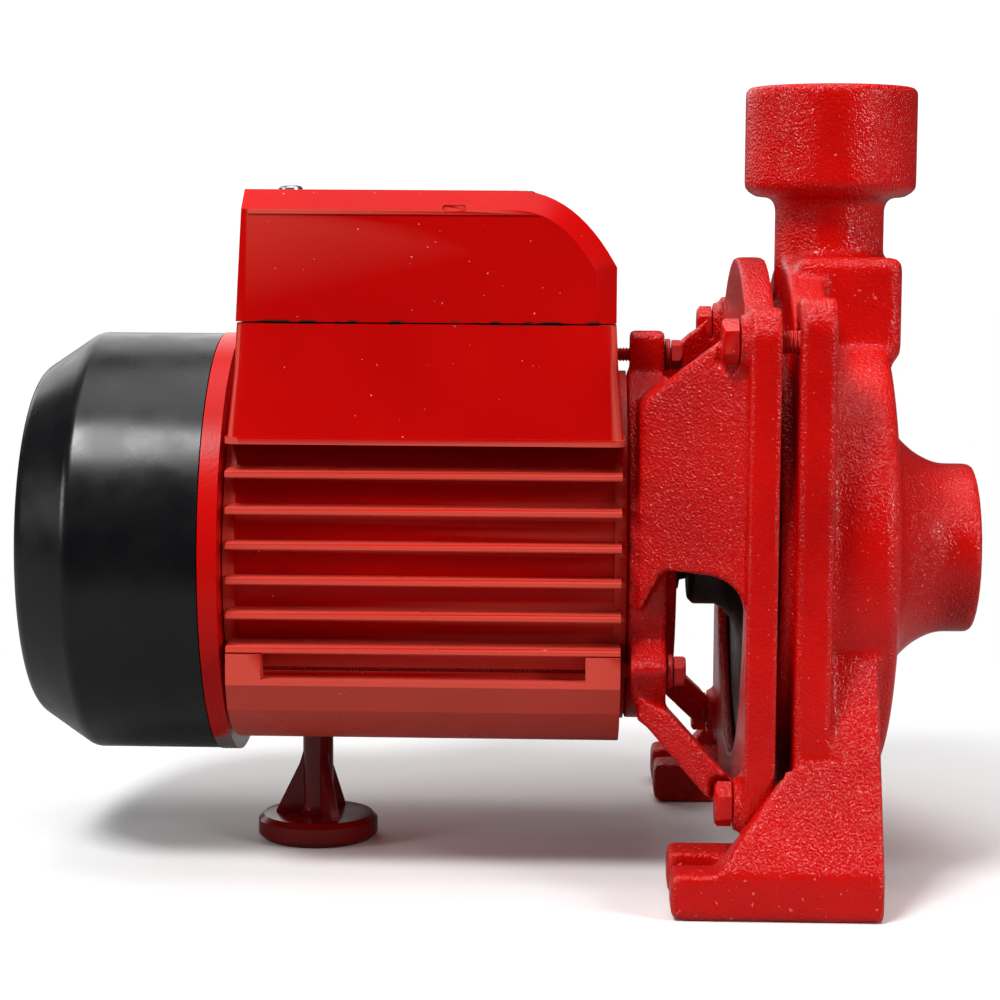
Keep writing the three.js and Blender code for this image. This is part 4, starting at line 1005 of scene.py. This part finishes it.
for index, spot in enumerate(tie_spots, start=1):
    tie = bolt(f"long_tie_bolt_{index}", spot, 26.4, 29.4, 7.0, 0.35 * index, 1.9, -92.0, False, 0.8)
    crisp(tie, 0.15)
    stands_for(tie, f"tie_bolt_{index}", tie_steel)
    ring = [(24.7, 2.1), (24.7, 4.2), (24.9, 4.3), (25.9, 4.3), (26.1, 4.1), (26.1, 2.1), (24.7, 2.1)]
    washer = turned(f"tie_bolt_washer_{index}", ring, spot, steps=48)
    crisp(washer, 0.1)
    stands_for(washer, f"tie_washer_{index}", tie_steel)

BOLT_Y = 61.7
BOLT_Z = 57.6
bolt_spots = [(-BOLT_Y, BOLT_Z), (BOLT_Y, BOLT_Z), (-BOLT_Y, -BOLT_Z), (BOLT_Y, -BOLT_Z)]
print("tie bolts at", [tuple(round(v, 1) for v in spot) for spot in tie_spots])

# %% [markdown]
# ## The lantern bracket
# One sand casting joins the motor to the pump: a round rear flange, two leaning arms with
# a broad upper wall and a slim lower strut, and an arched front flange with four square
# lugs. The blocks are joined and cut first. A fine remesh then turns them into one skin
# whose corners are as soft as cast iron's.

# %% Arms, flanges and ears
FLANGE_RADIUS = 78.0
FLANGE_HALF_WIDTH = 70.2
FLANGE_LOW_Z = -70.0
LUG_INNER = 53.0


def flange_plate(name, x0, x1, lug_top):
    """The outline that both bolted flanges share."""
    plate = prism(name, circle(0.0, 0.0, FLANGE_RADIUS, 160), x0, x1)
    limits = rectangle(-FLANGE_HALF_WIDTH, FLANGE_HALF_WIDTH, FLANGE_LOW_Z, FLANGE_RADIUS)
    shaped(plate, kept=[prism("limits", limits, x0 - 1, x1 + 1)])
    half = FLANGE_HALF_WIDTH
    extras = [prism("waist", rectangle(-half, half, -BOLT_Z, BOLT_Z), x0, x1)]
    lug = [
        (-half, 0.0),
        (-half, lug_top - 6.0),
        (4.0 - half, lug_top),
        (-LUG_INNER, lug_top),
        (-LUG_INNER, 0.0),
    ]
    for flip_y in (-1, 1):
        for flip_z in (-1, 1):
            outline = [(flip_y * y, flip_z * z) for y, z in rounded(lug, 2.5)]
            extras.append(prism("lug", outline, x0, x1))
    return shaped(plate, joined=extras)


arm_plan = [(17.0, 24.0), (24.4, 24.0), (24.4, 42.4), (44.0, 58.5), (44.0, 64.5), (17.0, 48.4)]
wall_side = [
    (17.0, 41.6), (17.0, -12.0), (23.4, -0.2), (37.0, -1.0), (41.5, -4.0),
    (44.0, -12.0), (44.0, 64.0),
]
strut_side = [
    (17.0, -33.4), (24.4, -36.0), (41.0, -52.5), (44.0, -57.0), (44.0, -64.5),
    (36.0, -58.6), (19.0, -40.4), (17.0, -39.8),
]
arm_pieces = []
for side in (-1, 1):
    for outline, ease in ((wall_side, 2.4), (strut_side, 1.5)):
        plan = [(x, side * y) for x, y in arm_plan]
        arm = prism("arm", plan, -70.0, 70.0, along="z")
        shaped(arm, kept=[prism("side", rounded(outline, ease), -90.0, 90.0, along="y")])
        arm_pieces.append(arm)

rear_profile = [
    (14.4, 40.3), (10.4, 40.3), (10.4, 43.7), (14.4, 43.7), (14.4, 47.0),
    (24.4, 47.0), (24.4, 40.0), (25.2, 38.6), (26.6, 38.0), (27.2, 37.4),
    (27.2, 9.0), (25.3, 9.0), (25.3, 16.0), (14.4, 16.0), (14.4, 21.0),
    (21.4, 21.0), (21.4, 40.3), (14.4, 40.3),
]
bracket = turned("lantern_casting", rear_profile, steps=160)
spot_faces = [prism("spot_face", circle(*spot, 6.9), 35.5, 40.7) for spot in bolt_spots]
shaped(bracket, joined=arm_pieces, removed=spot_faces)

ear_outline = rounded(rectangle(-6.5, 6.5, 40.0, 58.0), 3.0)
ears = [prism("ear", swung(ear_outline, degrees - 90.0), 15.2, 24.4) for degrees in TIE_TURNS]
pads = [prism("pad", circle(*spot, 6.6), 40.7, 44.0) for spot in bolt_spots]
front = flange_plate("front_flange", 43.0, 50.6, 66.0)
opening = [prism("opening", circle(0.0, 0.0, 56.0, 160), 42.0, 52.0)]
opening.append(prism("seat_opening", circle(0.0, 0.0, 62.0, 160), 46.0, 52.0))
shaped(front, removed=opening)
bracket_holes = [prism("bolt_hole", circle(*spot, 3.4, 32), 30.0, 60.0) for spot in bolt_spots]
bracket_holes += [prism("tie_hole", circle(*spot, TIE_HOLE_RADIUS, 32), 0.0, 36.0) for spot in tie_spots]
bracket_holes += [prism("head_spot", circle(*spot, 5.4, 48), 24.4, 36.0) for spot in tie_spots]
shaped(bracket, joined=[*ears, front, *pads], removed=bracket_holes)
cast(bracket, 0.87, 4)
stands_for(bracket, "lantern_bracket", cast_red)
print("lantern bracket:", len(bracket.data.polygons), "faces")

# %% [markdown]
# ## What shows through the lantern windows
# Behind the arms stand the iron seal plate, the shaft and the rubber slinger that throws
# off any drip. They are all turned parts, so each is one profile.

# %% Seal plate, slinger and shaft
plate = turned(
    "iron_seal_plate",
    [
        (46.3, 61.7), (54.7, 61.7), (54.7, 56.7), (50.0, 54.7), (50.0, 12.9),
        (44.7, 12.9), (44.7, 8.5), (31.4, 8.5), (31.4, 14.5), (32.9, 16.0),
        (39.0, 16.0), (41.6, 17.6), (43.3, 20.0), (45.2, 25.0), (46.3, 30.0),
        (46.3, 61.7),
    ],
    steps=160,
)
crisp(plate, 0.4)
stands_for(plate, "seal_plate", dark_iron)

slinger_lip = [(27.6, 6.3), (27.6, 11.6), (28.1, 12.0), (28.9, 12.0)]
slinger_collar = [(29.3, 9.6), (31.0, 9.2), (31.0, 6.3), (27.6, 6.3)]
slinger = turned("rubber_slinger", [*slinger_lip, *slinger_collar], steps=96)
crisp(slinger, 0.2)
stands_for(slinger, "slinger", rubber, "rotor")

SHAFT_STEPS = (
    (-127.0, 0.0), (-127.0, 5.0), (-126.6, 5.4), (-93.0, 5.4), (-93.0, 6.0),
    (-77.5, 6.0), (-77.5, 7.0), (13.5, 7.0), (13.5, 6.0), (57.0, 6.0),
    (57.0, 5.4), (69.8, 5.4), (69.8, 4.0), (78.1, 4.0), (78.5, 3.6),
    (78.5, 0.0),
)
spindle = turned("turned_shaft", SHAFT_STEPS, steps=96)
keyway_low, keyway_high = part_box("impeller_key")
key_x0 = (keyway_low.x - datum_x) / MM - 0.3
key_x1 = (keyway_high.x - datum_x) / MM + 0.3
key_z0 = (keyway_low.z - shaft_height) / MM - 0.3
key_half = keyway_high.y / MM + 0.2
shaped(spindle, removed=[block("keyway", key_x0, key_x1, -key_half, key_half, key_z0, 9.0)])
crisp(spindle, 0.15)
stands_for(spindle, "shaft", steel, "rotor")
print("seal plate, slinger and shaft")

# %% [markdown]
# ## The volute casing
# The wet end is one heavy casting: a turned body that narrows to the suction boss, a
# square block under the discharge neck, a bolted flange and two legs with slotted feet.
# The water's way through it is cut last.

# %% Casing body and discharge
NOSE = (
    (80.6, 61.0), (81.8, 58.5), (83.2, 48.0), (85.0, 36.0), (87.0, 31.0),
    (89.2, 28.4), (92.6, 25.6), (97.0, 23.4), (100.0, 22.8),
)
body_profile = [(55.0, 0.0), (55.0, 62.0), (78.5, 62.0), *flowing(list(NOSE), 4)]
body_profile += [(107.0, 22.8), (108.0, 21.8), (108.0, 0.0)]
casing = turned("casing_casting", body_profile, steps=192)
NECK_X = 68.2
neck_profile = [
    (40.0, 0.0), (40.0, 14.5), (91.5, 14.5), (93.0, 15.1), (94.1, 16.4),
    (94.0, 19.5), (95.4, 21.8), (96.6, 22.8), (122.0, 22.8), (123.0, 21.8),
    (123.0, 0.0),
]
neck = turned("neck", neck_profile, (NECK_X, 0.0), upright=True, steps=160)
block_side = [(57.8, 50.5), (82.8, 50.5), (84.8, 53.5), (84.8, 78.2), (57.8, 78.2)]
neck_block = prism("neck_block", rounded(block_side, 3.2), -28.0, 28.0, along="y", ease=2.0)
ring_outer = prism("spigot_ring", circle(0.0, 0.0, 66.5, 160), 51.4, 56.0)
shaped(casing, joined=[neck, neck_block, ring_outer, flange_plate("casing_flange", 55.0, 64.2, 68.6)])
print("casing body with neck at x =", NECK_X)

# %% [markdown]
# Each leg is a web seen from the end, a gusset that carries it back over the long foot,
# and the foot itself with a slot that is open towards the motor, so that the pump slides
# over a bolt that is already in place.

# %% Legs and feet
FOOT_OUTER = 82.5
FOOT_INNER = 47.0
FOOT_TOP_Z = -70.8
FLOOR_Z = -shaft_height / MM


def leg(side):
    """One leg with its foot, slot and gusset."""
    web_outline = [
        (-30.0, -40.0), (-57.8, -17.0),
        (-FOOT_OUTER, FOOT_TOP_Z),
        (-FOOT_OUTER, FLOOR_Z),
        (-FOOT_INNER, FLOOR_Z),
        (-FOOT_INNER, FOOT_TOP_Z),
        (-40.0, -62.0),
    ]
    web_outline = [(-side * y, z) for y, z in web_outline]
    near, far = sorted((side * 71.3, side * FOOT_OUTER))
    gusset_side = [(61.0, -43.8), (55.4, -43.8), (36.0, FOOT_TOP_Z), (36.0, -74.8), (61.0, -74.8)]
    gusset = prism("gusset", rounded(gusset_side, 1.2), near, far, along="y")
    shaped(gusset, kept=[prism("gusset_limit", web_outline, 35.0, 76.6)])
    near, far = sorted((side * FOOT_INNER, side * FOOT_OUTER))
    sole_side = rounded(rectangle(24.8, 76.6, FLOOR_Z, FOOT_TOP_Z), 2.4)
    sole = prism("sole", sole_side, near, far, along="y")
    web = prism("web", web_outline, 55.4, 76.6)
    middle = side * (FOOT_OUTER + FOOT_INNER) / 2
    slot_round = prism("slot_round", circle(35.3, middle, 5.5), FLOOR_Z - 1, -69.8, along="z")
    slot_mouth = block("slot_mouth", 20.0, 35.3, middle - 5.5, middle + 5.5, FLOOR_Z - 1, -69.8)
    near, far = sorted((side * 30.0, side * 71.3))
    lug_room = block("lug_room", 37.0, 55.0, near, far, FOOT_TOP_Z, 0.0)
    return shaped(web, joined=[gusset, sole], removed=[slot_round, slot_mouth, lug_room])


legs = [leg(-1), leg(1)]
chamber = turned(
    "chamber",
    [
        (47.0, 0.0), (47.0, 62.0), (57.6, 62.0), (57.6, 56.0), (73.8, 56.0),
        (75.8, 54.6), (76.8, 52.0), (76.8, 17.9), (77.8, 15.3), (110.0, 15.3),
        (110.0, 0.0),
    ],
    steps=160,
)
waterways = [
    chamber,
    prism("passage", circle(NECK_X, 0.0, 10.2, 64), 30.0, 124.0, along="z"),
    prism("port", circle(NECK_X, 0.0, 15.3, 96), 104.0, 124.0, along="z"),
    prism("priming_hole", circle(0.0, 66.0, 8.2, 64), 74.2, 86.0),
    prism("drain_hole", circle(0.0, -46.0, 5.2, 48), 72.8, 86.0),
]
waterways += [prism("tap", circle(*spot, 3.3, 32), 54.0, 61.6) for spot in bolt_spots]
shaped(casing, joined=legs, removed=waterways)
print("casing before casting:", len(casing.data.polygons), "faces")
cast(casing, 1.05, 4)
stands_for(casing, "volute_casing", cast_red)
print("volute casing:", len(casing.data.polygons), "faces")

# %% [markdown]
# ## Plugs and casing bolts
# The priming and drain plugs are short, flush and turned with a hexagon socket. The four
# casing bolts were painted with the pump, so their heads are red and a little rounded,
# and their threads show in the gap between the flanges.

# %% Plugs and casing bolts
for name, node, z, front_x, radius, length, key in (
    ("priming_plug_turned", "priming_plug", 66.0, 84.8, 7.9, 9.0, 7.0),
    ("drain_plug_turned", "drain_plug", -46.0, 83.3, 4.9, 3.6, 4.0),
):
    back_x = front_x - length
    back_end = [(back_x, 0.0), (back_x, radius - 0.4), (back_x + 0.4, radius)]
    front_end = [(front_x - 0.5, radius), (front_x, radius - 0.5), (front_x, 0.0)]
    body = turned(name, [*back_end, *front_end], (0.0, z), steps=72)
    shaped(body, removed=[prism("socket", hexagon(0.0, z, key), front_x - length / 2, front_x + 1)])
    crisp(body, 0.15)
    stands_for(body, node, bolt_red)

for index, spot in enumerate(bolt_spots, start=1):
    fixing = bolt(f"flange_bolt_{index}", spot, 36.2, 40.4, 10.0, math.pi / 2, 3.0, 61.0, True, 1.0)
    crisp(fixing, 0.3)
    stands_for(fixing, f"casing_bolt_{index}", bolt_red)
print("two plugs and four casing bolts")

# %% [markdown]
# ## The support foot
# A small moulded foot holds up the far end of the motor. A round column with three thin
# blades stands on a chamfered disc. The blades are one outline, turned by a third of a
# circle each time.

# %% Support foot
SUPPORT_X = -69.3
column_profile = [
    (-82.0, 0.0), (-82.0, 15.0), (-80.6, 16.4), (-76.8, 16.4), (-75.4, 15.0),
    (-75.2, 13.0), (-75.2, 5.4), (-74.2, 4.5), (-72.6, 4.15), (-49.8, 4.15),
    (-49.8, 0.0),
]
support = turned("support_foot_moulding", column_profile, (SUPPORT_X, 0.0), upright=True, steps=128)
blade_side = [(0.0, -58.0), (4.0, -58.0), (5.0, -61.5), (11.5, -74.8), (11.5, -76.0), (0.0, -76.0)]
blades = []
for degrees in (180.0, 300.0, 60.0):
    blade = prism("blade", blade_side, -1.3, 1.3, along="y", ease=0.25)
    spin = Matrix.Rotation(math.radians(degrees), 4, "Z")
    axis = Matrix.Translation(place(0.0, 0.0, 0.0))
    blade.data.transform(Matrix.Translation(place(SUPPORT_X, 0.0, 0.0)) @ spin @ axis.inverted())
    blades.append(blade)
shaped(support, joined=blades)
crisp(support, 0.2, 24.0)
stands_for(support, "support_foot", foot_plastic)
print("support foot:", len(support.data.polygons), "faces")

# %% [markdown]
# ## Inside the motor and the pump
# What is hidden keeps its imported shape, because its mechanics are already exact there.
# Smooth shading of its round faces and its own finish are enough to make each one read as
# the real material when the pump is opened or cut away.

# %% Hidden pieces
hidden = {
    "stator_core": laminations,
    "rotor_core": laminations,
    "winding_front": copper,
    "winding_rear": copper,
    "front_bearing_outer": steel,
    "rear_bearing_outer": steel,
    "front_bearing_inner": steel,
    "rear_bearing_inner": steel,
    "cooling_fan": black_plastic,
    "terminal_block": black_plastic,
    "capacitor": aluminium,
    "seal_seat": ceramic,
    "seal_head": steel,
    "seal_spring": steel,
    "casing_o_ring": rubber,
    "impeller": brass,
    "impeller_key": steel,
    "impeller_nut": brass,
}
for node, material in hidden.items():
    smooth_faces(dressed(frame["nodes"][node], material), 35.0)
print("finished", len(hidden), "hidden pieces")

# %% [markdown]
# ## Sizes
# The finished pieces must fill the imported box and no more. The imported box was printed
# after loading, and the last line prints the box of the finished scene.

# %% Box of the finished scene
low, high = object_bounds()
print("visual box:", [round(v, 4) for v in (*low, *high)])
